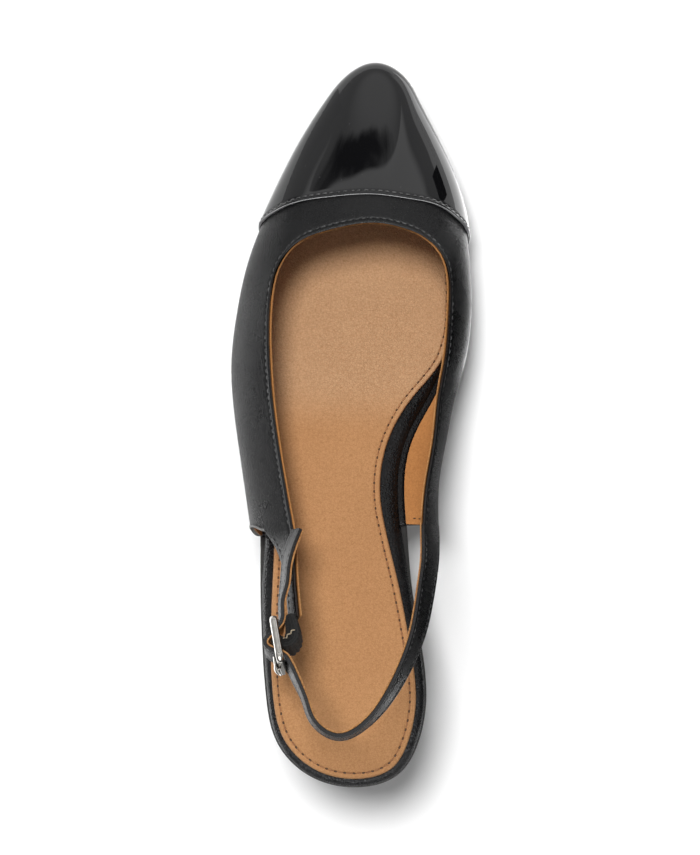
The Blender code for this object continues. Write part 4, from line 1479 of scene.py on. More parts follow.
@dataclass
class SoleUnit:
    """Outsole, wrapped footbed and tan sock with its stitched border."""

    last: Last
    table: SoleTable
    outline: Outline
    wardrobe: Wardrobe
    gap: float = 0.3
    outsole: float = 2.8
    footbed: float = 3.2
    sock: float = 1.2
    heel_inset: float = 0.6
    wall_inset: float = 2.1
    outsole_rim: float = 0.5
    outsole_curl: float = 0.9
    top_curl_share: float = 0.4
    wrap_gap: float = 0.1
    wrap_lip: float = 0.5
    wrap_share: float = 0.85
    wrap_widths: tuple = (1.6, 5.2)
    sock_rim: float = 0.7
    sock_dome: float = 0.25
    sock_dome_reach: float = 6.0
    seam_depth: float = 2.1
    seam_groove: float = 0.26
    seam_groove_width: float = 0.4
    seam_end: float = 226.0
    toe_room: float = 16.0
    least_squeeze: float = 0.1

    RIM_DEPTHS = (0.0, 0.12, 0.3, 0.55, 0.9, 1.3, 1.6, 1.85, 2.1, 2.35, 2.6, 3.0, 3.6, 4.5, 6.0)
    MIDDLE = 12
    THREAD = StitchStyle(pitch=3.2, length=2.4, radius=0.30, lift=0.10, dive=0.30)
    HOLE = StitchStyle(pitch=3.2, length=1.25, radius=0.48, lift=-0.22, dive=0.2, shift=0.5)

    def build(self) -> None:
        """Make the three layers and the border's stitches."""
        self.build_outsole()
        self.build_footbed()
        self.build_sock()

    def plan(self, lateral: Array, medial: Array) -> PlanGrid:
        """Plan of a plate inside the sole's outline.

        Args:
            lateral: margin of the plate at each point of the lateral side.
            medial: the same for the medial side.

        Returns:
            Rows from heel to toe, with columns close together near the rim.
        """
        width = np.abs(self.outline.medial[:, 1] - self.outline.lateral[:, 1])
        front = self.outline.lateral[:, 0] > 0
        squeeze = np.where(front, np.clip(width / self.toe_room, self.least_squeeze, 1.0), 1.0)
        sides = [self.outline.inset(lateral + depth * squeeze, medial + depth * squeeze)
                 for depth in self.RIM_DEPTHS]
        lefts = np.stack([side[0] for side in sides], axis=1)
        rights = np.stack([side[1] for side in sides], axis=1)[:, ::-1]
        shares = np.linspace(0, 1, self.MIDDLE + 2)[1:-1]
        middle = lefts[:, -1:] + (rights[:, :1] - lefts[:, -1:]) * shares[None, :, None]
        plan = np.concatenate([lefts, middle, rights], axis=1)
        depths = np.array(self.RIM_DEPTHS)
        depth = np.concatenate([depths, np.full(self.MIDDLE, depths[-1]), depths[::-1]])
        return PlanGrid(plan[..., 1], plan[..., 0], np.repeat(depth[None], len(plan), axis=0))

    @staticmethod
    def plate(plan: PlanGrid, top: Array, base: Array) -> MeshBench:
        """Closed plate between two heights.

        Args:
            plan: plan of the plate.
            top: height of its upper face.
            base: height of its lower face.

        Returns:
            Bench with both faces and a rim wall.
        """
        upper = plan.at(top)
        lower = plan.at(base)
        bench = MeshBench().add_grid(upper).add_grid(lower, flip=True)
        bench.add_grid(np.stack([lower[:, 0], upper[:, 0]], axis=1))
        return bench.add_grid(np.stack([upper[:, -1], lower[:, -1]], axis=1))

    def build_outsole(self) -> None:
        """Thin outsole that follows the last from the heel seat to the toe."""
        nothing = np.zeros(len(self.outline.places))
        plan = self.plan(nothing, nothing)
        curl = self.outsole_rim * (1 - rounded(plan.depth / self.outsole_curl))
        top = self.last.over_sole(plan.y, self.outsole - self.top_curl_share * curl)
        base = self.last.over_sole(plan.y, curl)
        placing = self.wardrobe.placing(Look.RESIN, Slot.RESIN, "outsole")
        placing.piece("outsole_plate", self.plate(plan, top, base))

    def margins(self) -> list[Array]:
        """Margin of the sock at each point of the lateral and of the medial side."""
        rows = np.arange(1, len(self.table.rows) + 1)
        return [SmoothCurve(rows, column)(self.outline.places) for column in list(zip(*self.table.rows))[3:]]

    def build_footbed(self) -> None:
        """Insole board in black leather, with a rounded edge as wide as the sock leaves bare."""
        first = self.table.first_wall_row
        inset = np.interp(self.outline.places, (first, first + 1), (self.heel_inset, self.wall_inset))
        plan = self.plan(inset, inset)
        columns = plan.x.shape[1]
        counts = (columns // 2, columns - columns // 2)
        bare = np.concatenate([np.repeat((margin - inset)[:, None], count, axis=1)
                               for margin, count in zip(self.margins(), counts)], axis=1)
        arc = rounded(plan.depth / np.clip(self.wrap_share * bare, *self.wrap_widths))
        low = self.outsole + self.wrap_gap
        thickness = self.footbed + self.gap - self.wrap_lip
        top = self.last.over_sole(plan.y, low + self.wrap_lip + thickness * arc)
        bench = self.plate(plan, top, self.last.over_sole(plan.y, low))
        self.wardrobe.placing(Look.WRAP, Slot.WRAP, "footbed").piece("footbed_wrapped", bench)

    def sock_top(self, y: Array, depth: Array) -> Array:
        """Height of the sock's upper face.

        Args:
            y: place along the shoe.
            depth: distance from the sock's rim.

        Returns:
            Heights over the floor.
        """
        base = self.outsole + self.footbed + 2 * self.gap
        arc = rounded(depth / self.sock_rim)
        groove = self.seam_groove * bell(depth, self.seam_depth, self.seam_groove_width)
        relief = self.sock_dome * smooth(depth / self.sock_dome_reach) - groove
        return self.last.over_sole(y, base + self.sock * arc + relief * arc)

    def build_sock(self) -> None:
        """Tan sock with a sunk border row of stitches, and dark dots between them that paint the shade in the
        needle holes.
        """
        lateral, medial = self.margins()
        plan = self.plan(lateral, medial)
        base = self.outsole + self.footbed + self.gap
        top = self.sock_top(plan.y, plan.depth)
        bench = self.plate(plan, top, self.last.over_sole(plan.y, base))
        self.wardrobe.placing(Look.SOCK, Slot.TAN, "insole_sock").piece("tan_sock", bench)
        left, right = self.outline.inset(lateral + self.seam_depth, medial + self.seam_depth)
        visible = left[:, 0] < self.last.along(self.seam_end)
        y, x = np.vstack([left[visible][::-1], right[visible][1:]]).T
        heights = self.sock_top(y, np.full(len(y), self.seam_depth))
        slope = (self.last.underside(y + 1.0) - self.last.underside(y - 1.0)) / 2
        normals = unit(np.column_stack([np.zeros(len(y)), -slope, np.ones(len(y))]))
        line = SeamLine(np.column_stack([x, y, heights]), normals)
        self.wardrobe.placing(Look.BROWN_THREAD, Slot.TAN).sew("sock_stitches", self.THREAD, line)
        # The needle holes are dark dots: painted shade for the holes between the stitches.
        self.wardrobe.placing(Look.NEEDLE_HOLE, Slot.TAN).sew("sock_needle_holes", self.HOLE, line)


@dataclass
class HeelUnit:
    """Leather-covered kitten heel and its rubber lift."""

    last: Last
    wardrobe: Wardrobe
    lift_height: float = 5.0
    lift_rim: float = 0.4
    joint: float = 0.15
    seat_gap: float = 0.05
    centre_x: float = -0.5
    breast_flatness: float = 0.6
    points: int = 96
    levels: int = 48
    # Level from the lift to the seat, rear station, breast station, half width
    rows: tuple = (
        (0.0, 13.0, 30.0, 9.3),
        (0.08, 13.1, 29.6, 8.9),
        (0.2, 12.8, 29.8, 9.2),
        (0.4, 11.2, 31.8, 11.4),
        (0.6, 8.2, 35.8, 15.6),
        (0.8, 4.6, 42.0, 21.0),
        (1.0, 1.6, 50.0, 25.8),
    )

    POINT = 0.01
    SEAT_SIZES = (0.66, 0.33, POINT)
    FOOT_SIZES = (POINT, 0.5)

    def build(self) -> None:
        """Make the heel block and the lift."""
        table = np.array(self.rows)
        levels = np.linspace(0, 1, self.levels)
        sections = SmoothCurve(table[:, 0], table[:, 1:])(levels)
        rings = [self.ring(level, section) for level, section in zip(levels, sections)]
        seat = [self.ring(1.0, sections[-1], size) for size in self.SEAT_SIZES]
        foot = [self.ring(0.0, sections[0], size) for size in self.FOOT_SIZES]
        placing = self.wardrobe.placing(Look.COVER, Slot.COVER, "heel")
        placing.sheet("covered_heel", np.array(foot + rings + seat), flip=True, around=True)
        base = self.ring(0.0, sections[0]) * (1, 1, 0)
        middle = base.mean(axis=0)
        point = middle + (base - middle) * self.POINT
        rise = UP * (self.lift_height + self.joint)
        placing = self.wardrobe.placing(Look.RUBBER, Slot.RUBBER, "heel_top_lift")
        rows = np.array([point, base, base + rise, point + rise])
        round_rims(placing.sheet("rubber_lift", rows, flip=True, around=True), self.lift_rim)

    def ring(self, level: float, section: Array, size: float = 1.0) -> Array:
        """One section of the heel: round at the rear, flatter at the breast.

        Args:
            level: share of the way from the lift to the seat.
            section: rear station, breast station and half width.
            size: share of the section's size.

        Returns:
            Points round the section.
        """
        back, breast, half_width = section
        angles = np.arange(self.points) * 2 * pi / self.points
        forward = np.cos(angles)
        side = np.sin(angles)
        power = np.where(forward > 0, self.breast_flatness, 1.0)
        half = (breast - back) / 2 * size
        x = self.centre_x + size * half_width * np.sign(side) * np.abs(side) ** power
        y = self.last.along((back + breast) / 2) + half * np.sign(forward) * np.abs(forward) ** power
        base = self.lift_height + self.joint
        return np.column_stack([x, y, base + level * (self.last.over_sole(y, -self.seat_gap) - base)])


# Upper

@dataclass
class UpperUnit:
    """Vamp and quarters in leather, their tan lining, the patent toe cap and the seams."""

    surface: UpperSurface
    cap_line: CapLine
    wardrobe: Wardrobe
    leather: float = 1.2
    lining: float = 0.38
    edge_radius: float = 0.5
    lining_gap: float = 0.02
    lining_radius: float = 0.2
    lining_proud: float = 0.06
    tab_lining_proud: float = 0.5
    relief: Relief = Relief(0.3, 0.75, 0.6, 0.24, 1.75, 0.3)
    rear_roll: tuple = (0.7, 0.55)
    rear_seam: float = 2.0
    rear_seam_gap: float = 0.05
    rear_seam_shares: tuple = (0.04, 0.98)
    margin_thickness: float = 1.5
    margin_rise: float = 0.4
    sweep_reach: float = 14.0
    tab_root_share: float = 0.69
    tab_roll_fade: float = 0.1
    tab_blend: float = 25.0
    tab_steps: int = 10
    tab_seam_start: float = 2.0
    cap_lift: float = 1.1
    cap_thickness: float = 1.0
    cap_radius: float = 0.38
    cap_relief: Relief = Relief(0.16, 0.6, 0.45, 0.16, 1.5, 0.28)
    cap_seam_room: float = 6.0
    cap_foot_share: float = 0.06
    cap_least_share: float = 0.004
    # Steps along the sides and round the tip, then rows on the face and under the widest line
    wall_steps: tuple = (1.5, 0.7)
    wall_rows: tuple = (26, 14)
    cap_steps: tuple = (1.1, 0.6)
    cap_rows: tuple = (34, 12)
    # Share of the wall's height, and how far the lateral quarter's rear edge sweeps back there
    rear_sweep: tuple = (
        (0.0, 4.0), (0.12, 3.8), (0.22, 2.5), (0.3, 1.1), (0.4, 0.3), (0.55, 0.6), (0.69, 1.9), (1.0, 1.9),
    )
    # Top edge then low edge of the lateral tab: station, x and height of each
    tab: tuple = (
        (85.0, -18.5, 59.2, 84.2, -25.6, 51.6),
        (80.0, -18.2, 62.3, 78.5, -22.9, 55.0),
        (74.0, -17.8, 66.0, 71.5, -21.2, 58.6),
        (67.5, -17.1, 70.1, 64.0, -20.2, 63.0),
        (60.8, -16.2, 74.4, 56.7, -19.2, 67.7),
    )

    RIM_DEPTHS = (0.0, 0.25, 0.5, 0.8, 1.1, 1.35, 1.55, 1.75, 1.95, 2.2, 2.6, 3.2, 4.2, 6.0)
    CAP_DEPTHS = (0.0, 0.2, 0.45, 0.7, 0.95, 1.15, 1.3, 1.5, 1.7, 1.95, 2.4, 3.2, 4.5)
    MARGIN_DEPTHS = (0.3, 1.2, 2.6, 4.5)
    CUT_COLUMNS = 3
    REAR_SEAM_POINTS = 80
    LINING_STITCH = StitchStyle(pitch=2.0, length=1.2, radius=0.26, lift=0.06, dive=0.2)
    BLACK_STITCH = StitchStyle(pitch=2.4, length=1.9, radius=0.30, lift=0.14, dive=0.25)

    def build(self) -> None:
        """Make the leather, the lining, the cap and the stitches."""
        columns = self.surface.columns(0.0, self.surface.length, *self.wall_steps)
        self.u = np.unique(np.concatenate([columns, self.RIM_DEPTHS]).round(3))
        self.shares, self.depth = self.surface.shares_below(
            self.u, np.ones(len(self.u)), np.array(self.RIM_DEPTHS), *self.wall_rows)
        self.plain = self.surface.points(self.u, self.shares) + self.rear_shift()
        normals = self.surface.normals(self.u, self.shares)
        free = 1 - smooth((self.shares - self.tab_root_share) / self.tab_roll_fade + 1)
        rear = self.relief.rise * bell(self.u, *self.rear_roll)[:, None]
        rise = self.relief.at(self.depth) + rear * free
        self.dressed = self.plain + normals * rise[..., None]
        self.build_leather()
        self.build_lining()
        self.build_margin()
        self.build_collar_seam()
        self.build_lining_seam()
        self.build_cap()

    def rear_shift(self) -> Array:
        """Way that each point near the lateral quarter's rear edge sweeps back.

        Returns:
            Vectors for the points of the wall.
        """
        shares, ways = zip(*self.rear_sweep)
        way = SmoothCurve(shares, ways)(self.shares)
        fade = np.maximum(0.0, 1 - self.u / self.sweep_reach)[:, None] ** 2
        ends = self.surface.points(np.array([0.0, 2.0]), self.shares[[0, 0]])
        return unit(ends[0] - ends[1])[None] * (way * fade)[..., None]

    def tab_grid(self, wall: Array) -> Array:
        """Grid of the lateral tab.

        Args:
            wall: grid of the wall that the tab leaves.

        Returns:
            Points in rows along the tab, from the wall to the tab's end.
        """
        along = self.surface.last.along
        root = wall[0][self.shares[0] > self.tab_root_share]
        edges = [(*root[-1], *root[0])]
        for top, top_x, top_z, low, low_x, low_z in self.tab:
            edges.append((top_x, along(top), top_z, low_x, along(low), low_z))
        steps = np.arange(1, self.tab_steps * len(self.tab) + 1) / self.tab_steps
        drawn = SmoothCurve(np.arange(len(edges)), edges)(steps)
        return strip(root, drawn[:, :3], drawn[:, 3:], self.tab_blend)

    def dressed_tab(self) -> Array:
        """Tab with its rolled edges and seams, which fade in from the wall.

        Returns:
            Points in rows along the tab.
        """
        grid = self.tab_grid(self.dressed)
        from_top, from_low = edge_distances(grid)
        fade = smooth(running(grid[:, -1]) / self.tab_blend)[:, None]
        rise = self.relief.at(from_top) + self.relief.at(from_low)
        return grid - grid_normals(grid) * (rise * fade)[..., None]

    def build_leather(self) -> None:
        """Outer leather of the vamp, the quarters and the tab; below the tab the quarter's rear strip and cut
        edge are painted pale grey as a highlight.
        """
        root = int(np.argmax(self.shares[0] > self.tab_root_share))
        cut = self.CUT_COLUMNS
        bench = MeshBench()
        # The strip along the rear edge below the tab, and its rim, carry the painted highlight.
        bench.add_grid(self.dressed[:cut + 1, :root + 1], finish=2)
        bench.add_grid(self.dressed[:cut + 1, root:])
        bench.add_grid(self.dressed[cut:])
        bench.add_grid(self.dressed_tab(), flip=True)
        finishes = [self.wardrobe[look] for look in (Look.RIM, Look.BLACK_EDGE, Look.BLACK_EDGE)]
        placing = self.wardrobe.placing(Look.LEATHER, Slot.LEATHER, "upper")
        placing.shell("upper_leather_wall", bench, self.leather, self.edge_radius, finishes)

    def build_lining(self) -> None:
        """Tan lining behind the leather, its cut edge just proud of the collar."""
        wall = self.plain.copy()
        wall[:, -1] += unit(wall[:, -1] - wall[:, -3]) * self.lining_proud
        tab = self.tab_grid(wall)
        tab[1:, -1] += unit(tab[1:, -1] - tab[1:, -3]) * self.tab_lining_proud
        bench = MeshBench().add_grid(wall).add_grid(tab, flip=True)
        placing = self.wardrobe.placing(Look.LINING, Slot.TAN, "upper")
        placing.shell("upper_tan_lining", bench, self.lining, self.lining_radius,
                      [self.wardrobe[Look.TAN_EDGE]], steps=2, inset=self.leather + self.lining_gap)

    def build_margin(self) -> None:
        """Leather turned in from the wall's foot to the footbed, which closes the joint above the outsole."""
        share = np.full((len(self.u), 1), self.surface.table.tuck_share)
        outward = self.surface.normals(self.u, share)[:, 0] * (1.0, 1.0, 0.0)
        ways = unit(outward)[:, None] * np.array(self.MARGIN_DEPTHS)[None, :, None]
        foot = self.dressed[:, :1] + (0.0, 0.0, self.margin_rise)
        placing = self.wardrobe.placing(Look.WRAP, Slot.LEATHER, "upper")
        thicken(placing.sheet("upper_lasting_margin", foot - ways), self.margin_thickness, 0.0)

    def line_under(self, u: Array, shares: Array, depth: Array, below: float, rise: float) -> SeamLine:
        """Line on the wall at a depth under an edge.

        Args:
            u: distances round the upper.
            shares: shares of the wall's height in each column, rising.
            depth: their depths under the edge.
            below: depth of the line.
            rise: height of the line over the wall.

        Returns:
            The line with the wall's outward directions.
        """
        v = np.array([np.interp(below, deep[::-1], row[::-1]) for deep, row in zip(depth, shares)])
        points = self.surface.points(u, v[:, None])[:, 0]
        normals = self.surface.normals(u, v[:, None])[:, 0]
        return SeamLine(points + normals * rise, normals)

    def build_collar_seam(self) -> None:
        """Black stitches that follow the collar and the tab's edges."""
        seam = self.relief.seam
        line = self.line_under(self.u, self.shares, self.depth, seam, -self.relief.groove)
        placing = self.wardrobe.placing(Look.BLACK_THREAD, Slot.LEATHER)
        placing.sew("collar_stitches", self.BLACK_STITCH, line)
        grid = self.dressed_tab()
        strap = SeamLine(grid, -grid_normals(grid))
        placing.sew_edges("tab", self.BLACK_STITCH, strap, seam, self.tab_seam_start)

    def build_lining_seam(self) -> None:
        """Row of stitches across the rear end of the medial quarter's lining."""
        column = np.array([self.surface.length - self.rear_seam])
        shares = np.linspace(*self.rear_seam_shares, self.REAR_SEAM_POINTS)[None]
        normals = self.surface.normals(column, shares)[0]
        depth = self.leather + self.lining + self.rear_seam_gap
        line = SeamLine(self.surface.points(column, shares)[0] - normals * depth, -normals)
        placing = self.wardrobe.placing(Look.NEEDLE_HOLE, Slot.TAN)
        placing.sew("lining_rear_stitches", self.LINING_STITCH, line)

    def build_cap(self) -> None:
        """Patent toe cap with a folded rear edge whose outermost strip is painted pale as a highlight, and
        its row of stitches.
        """
        u = self.surface.columns(self.cap_line.start, self.cap_line.end, *self.cap_steps)
        top = np.maximum(self.cap_line.shares(u), self.cap_foot_share + self.cap_least_share)
        shares, depth = self.surface.shares_below(
            u, top, np.array(self.CAP_DEPTHS), *self.cap_rows, self.cap_foot_share)
        rise = self.cap_lift + self.cap_relief.at(depth)
        grid = self.surface.points(u, shares) + self.surface.normals(u, shares) * rise[..., None]
        # The outermost strip of rows along the rear edge gets the painted highlight.
        bench = MeshBench().add_grid(grid[:, :-1]).add_grid(grid[:, -2:], finish=1)
        placing = self.wardrobe.placing(Look.PATENT, Slot.PATENT, "toe_cap")
        placing.shell("patent_toe_cap", bench, self.cap_thickness, self.cap_radius,
                      [self.wardrobe[Look.FOLD]], rim=0)
        long = depth[:, 0] > self.cap_seam_room
        sunk = self.cap_lift - self.cap_relief.groove
        line = self.line_under(u[long], shares[long], depth[long], self.cap_relief.seam, sunk)
        self.wardrobe.placing(Look.BLACK_THREAD, Slot.PATENT).sew("cap_stitches", self.BLACK_STITCH, line)


# Sling strap, buckle and elastic

def sweep(path: Array, girth: float | Array, across: Array, sides: int, closed: bool = False,
          stretch: float = 1.0) -> Array:
    """Grid of a round wire along a flat path.

    Args:
        path: points of the wire's centre line.
        girth: radius, for all points or for each.
        across: direction square to the plane of the path.
        sides: facets round the wire.
        closed: whether the path is a loop.
        stretch: how much thicker the wire is square to the plane.

    Returns:
        Rings of points along the path.
    """
    beside = unit(np.cross(across, heading(path, closed)))
    angles = np.arange(sides) * 2 * pi / sides
    circle = (np.cos(angles)[None, :, None] * beside[:, None, :]
              + np.sin(angles)[None, :, None] * across[None, None, :] * stretch)
    rings = path[:, None, :] + circle * np.broadcast_to(girth, len(path))[:, None, None]
    return np.concatenate([rings, rings[:1]]) if closed else rings


@dataclass
class BuckleUnit:
    """Small nickel buckle: frame, centre bar and prong, with the axes the strap follows."""

    last: Last
    wardrobe: Wardrobe
    strap_front: tuple = (90.0, 52.0)
    strap_back: tuple = (22.0, 94.5)
    station: float = 50.9
    x: float = -22.1
    turn: float = 12.0
    rise: float = 32.0
    half_length: float = 8.1
    half_height: float = 6.2
    corner: float = 2.2
    frame_radius: float = 1.05
    frame_stretch: float = 1.28
    bar_radius: float = 0.8
    prong_radius: float = 0.75
    prong_gap: float = 0.3
    prong_rest_gap: float = 0.1
    prong_tip: float = 3.4
    prong_droop: float = 1.3
    facets: int = 18
    corner_steps: int = 8

    CORNERS = ((1, 1), (-1, 1), (-1, -1), (1, -1))
    BAR_RINGS = 9
    PRONG_TURNS = range(-280, 1, 14)
    PRONG_SHARES = np.linspace(0.1, 1.0, 14)
    TIP_GIRTHS = (1.2, 1.3, 1.15, 0.8, 0.35)
    END_GIRTH = 0.01
    END_REACH = 0.05

    def __post_init__(self) -> None:
        """Set the buckle's centre and axes."""
        turn = radians(self.turn)
        rise = radians(self.rise)
        self.rearward = np.array([cos(rise) * sin(turn), -cos(rise) * cos(turn), sin(rise)])
        self.outward = np.array([-cos(turn), -sin(turn), 0.0])
        self.upward = np.cross(self.outward, self.rearward)
        y = self.last.along(self.station)
        self.centre = np.array([self.x, y, float(self.strap_height(y))])

    def strap_height(self, y: float | Array) -> float | Array:
        """Height of the sling strap's centre line."""
        (front, low), (back, high) = self.strap_front, self.strap_back
        return low + (self.last.along(front) - y) / (front - back) * (high - low)

    def place(self, a: float, n: float, b: float = 0.0) -> Array:
        """Point from distances rearward, outward and upward."""
        return self.centre + self.rearward * a + self.outward * n + self.upward * b

    def build(self) -> None:
        """Make the frame with its bar, and the prong."""
        outline = []
        for quarter, (side_a, side_b) in enumerate(self.CORNERS):
            for step in range(self.corner_steps + 1):
                angle = (quarter + step / self.corner_steps) * pi / 2
                a = side_a * (self.half_length - self.corner) + self.corner * cos(angle)
                b = side_b * (self.half_height - self.corner) + self.corner * sin(angle)
                outline.append(self.place(a, 0.0, b))
        levels = np.linspace(-self.half_height, self.half_height, self.BAR_RINGS)
        bar = np.array([self.place(0.0, 0.0, level) for level in levels])
        bench = MeshBench()
        bench.add_grid(sweep(np.array(outline), self.frame_radius, self.outward, self.facets, True,
                             self.frame_stretch), around=True)
        bench.add_grid(sweep(bar, self.bar_radius, self.outward, self.facets), around=True)
        placing = self.wardrobe.placing(Look.NICKEL, Slot.NICKEL, "buckle_frame")
        placing.piece("nickel_frame", bench)
        placing = self.wardrobe.placing(Look.NICKEL, Slot.NICKEL, "buckle_prong")
        placing.sheet("nickel_prong", self.prong_grid(), around=True)

    def prong_grid(self) -> Array:
        """Prong that rings the bar and rests on the rear of the frame, with a tapered tip.

        Returns:
            Rings of points along the prong.
        """
        ring = self.bar_radius + self.prong_gap + self.prong_radius
        rest = self.frame_radius * self.frame_stretch + self.prong_rest_gap + self.prong_radius
        path = [(ring * sin(radians(turn)), ring * cos(radians(turn))) for turn in self.PRONG_TURNS]
        for a in (self.half_length + self.prong_tip) * self.PRONG_SHARES:
            droop = self.prong_droop * max(0.0, a - self.half_length) ** 2 / self.prong_tip ** 2
            path.append((a, ring + (rest - ring) * min(1.0, a / self.half_length) - droop))
        points = np.array([self.place(a, n) for a, n in path])
        girth = np.full(len(points), self.prong_radius)
        girth[-len(self.TIP_GIRTHS):] *= self.TIP_GIRTHS
        points = np.vstack([points[:1], points, points[-1:]])
        girth = np.concatenate([[self.END_GIRTH], girth, [self.END_GIRTH]])
        ahead = np.gradient(points, axis=0)
        points[0] = points[0] - unit(ahead[1]) * self.END_REACH
        points[-1] = points[-1] + unit(ahead[-2]) * self.END_REACH
        return sweep(points, girth, self.upward, self.facets)


@dataclass
class SlingUnit:
    """Strap from the medial quarter round the heel, through the buckle, to its free end."""

    surface: UpperSurface
    buckle: BuckleUnit
    wardrobe: Wardrobe
    thickness: float = 1.8
    leather: float = 1.25
    layer_gap: float = 0.02
    leather_radius: float = 0.4
    lining_radius: float = 0.15
    relief: Relief = Relief(0.12, 0.6, 0.5, 0.14, 1.4, 0.35)
    dome: float = 0.12
    dome_reach: float = 4.0
    blend: float = 25.0
    buckle_blend: float = 10.0
    overlap: float = 0.4
    under: float = 2.3
    over: float = 4.3
    loop_steps: int = 10
    loop_lean_shares: tuple = (0.0, 0.4, 1.0)
    loop_lean: tuple = (7.0, 2.0, 13.0)
    step: float = 1.2
    columns: int = 27
    seam_start: float = 4.0
    # Station, x, lean in degrees and width
    rows: tuple = (
        (79.5, 28.3, 24.0, 13.0),
        (68.0, 26.9, 26.0, 11.2),
        (55.0, 24.3, 26.0, 10.2),
        (43.8, 20.0, 23.0, 9.6),
        (33.0, 13.8, 18.0, 9.2),
        (25.6, 7.0, 13.0, 9.0),
        (22.0, -1.0, 14.0, 9.0),
        (26.4, -9.2, 13.0, 9.0),
        (34.0, -12.9, 12.0, 9.0),
        (40.0, -15.9, 9.0, 9.0),
    )
    # Station, x, lean, width and lift over the strap's line
    tail: tuple = (
        (63.5, -21.5, 14.0, 9.0, 1.2),
        (70.0, -20.8, 16.0, 9.0, 2.6),
        (78.0, -20.1, 17.0, 8.8, 5.4),
        (84.0, -18.7, 19.0, 8.4, 8.0),
        (89.5, -16.6, 20.0, 7.8, 10.0),
    )

    STITCH = StitchStyle(pitch=2.2, length=1.8, radius=0.22, lift=0.10, dive=0.22)

    def path(self) -> Array:
        """Line of the strap from the quarter to its free end.

        Returns:
            Rows of the centre's three parts, the lean and the width.
        """
        along = self.surface.last.along
        height = self.buckle.strap_height
        rows = [(x, along(station), height(along(station)), lean, width)
                for station, x, lean, width in self.rows]
        length = self.buckle.half_length
        for step in range(self.loop_steps + 1):
            a = length * (1 - 2 * step / self.loop_steps)
            swing = (1 + cos(pi * a / length)) / 2
            point = self.buckle.place(a, -self.under + (self.over + self.under) * swing)
            lean = np.interp(step / self.loop_steps, self.loop_lean_shares, self.loop_lean)
            rows.append((*point, lean, self.rows[-1][3]))
        rows.extend((x, along(station), height(along(station)) + lift, lean, width)
                    for station, x, lean, width, lift in self.tail)
        return np.array(rows)

    def grid(self) -> Array:
        """Middle surface of the strap.

        Returns:
            Points in rows along the strap, from its low edge to its top edge.
        """
        length = self.surface.length
        shares = np.linspace(self.surface.table.tuck_share, 1.0, self.columns)[None]
        at_end = np.array([length])
        inward = -self.surface.normals(at_end, shares)[0] * self.surface.table.wall / 2
        start = self.surface.points(at_end, shares)[0] + inward + np.array([0.0, self.overlap, 0.0])
        root = start[-1] - start[0]
        first = (*(start[0] + root / 2), self.rows[0][2], np.linalg.norm(root))
        rows = np.vstack([first, self.path()])
        knots = running(rows[:, :3])
        curve = SmoothCurve(knots, rows)
        places = np.linspace(0, knots[-1], int(knots[-1] / self.step))[1:]
        self.buckle_place = knots[1 + len(self.rows) + self.loop_steps // 2]
        halves = [self.half_across(curve, place, unit(root)) for place in places]
        centres = curve(places)[:, :3]
        return strip(start, centres + np.array(halves), centres - np.array(halves), self.blend)

    def half_across(self, curve: SmoothCurve, place: float, root: Array) -> Array:
        """Vector from the strap's centre line to its top edge.

        Args:
            curve: centre, lean and width along the strap.
            place: distance along the strap.
            root: direction across the strap where it leaves the quarter.

        Returns:
            Half the strap's width, in its leaning direction.
        """
        centre = curve(place)
        ahead = unit(curve(place + FINE_STEP)[:3] - curve(place - FINE_STEP)[:3])
        upright = unit(UP - ahead * ahead.dot(UP))
        near_root = max(0.0, 1 - place / self.blend)
        near_buckle = np.clip((self.blend - abs(place - self.buckle_place)) / self.buckle_blend, 0.0, 1.0)
        upright = unit(upright + (self.buckle.upward - upright) * near_buckle)
        outward = unit(np.cross(upright, ahead))
        lean = radians(centre[3])
        half = upright * cos(lean) - outward * sin(lean)
        return unit(half + (root - half) * near_root) * centre[4] / 2

    def build(self) -> None:
        """Make the strap's leather, its lining and its two rows of stitches."""
        grid = self.grid()
        normals = grid_normals(grid)
        near = np.minimum(*edge_distances(grid))
        rise = self.relief.at(near) + self.dome * smooth(near / self.dome_reach)
        outer = grid + normals * (self.thickness / 2 + rise)[..., None]
        placing = self.wardrobe.placing(Look.STRAP, Slot.LEATHER, "sling_strap")
        bench = MeshBench().add_grid(outer)
        placing.shell("sling_leather", bench, self.leather, self.leather_radius, [self.wardrobe[Look.RIM]])
        inner = grid + normals * (self.thickness / 2 - self.leather - self.layer_gap)
        placing = self.wardrobe.placing(Look.LINING, Slot.TAN, "sling_strap")
        bench = MeshBench().add_grid(inner)
        placing.shell("sling_tan_lining", bench, self.thickness - self.leather, self.lining_radius,
                      [self.wardrobe[Look.TAN_EDGE]], steps=2)
        placing = self.wardrobe.placing(Look.BLACK_THREAD, Slot.LEATHER)
        placing.sew_edges("sling", self.STITCH, SeamLine(outer, normals), self.relief.seam, self.seam_start)


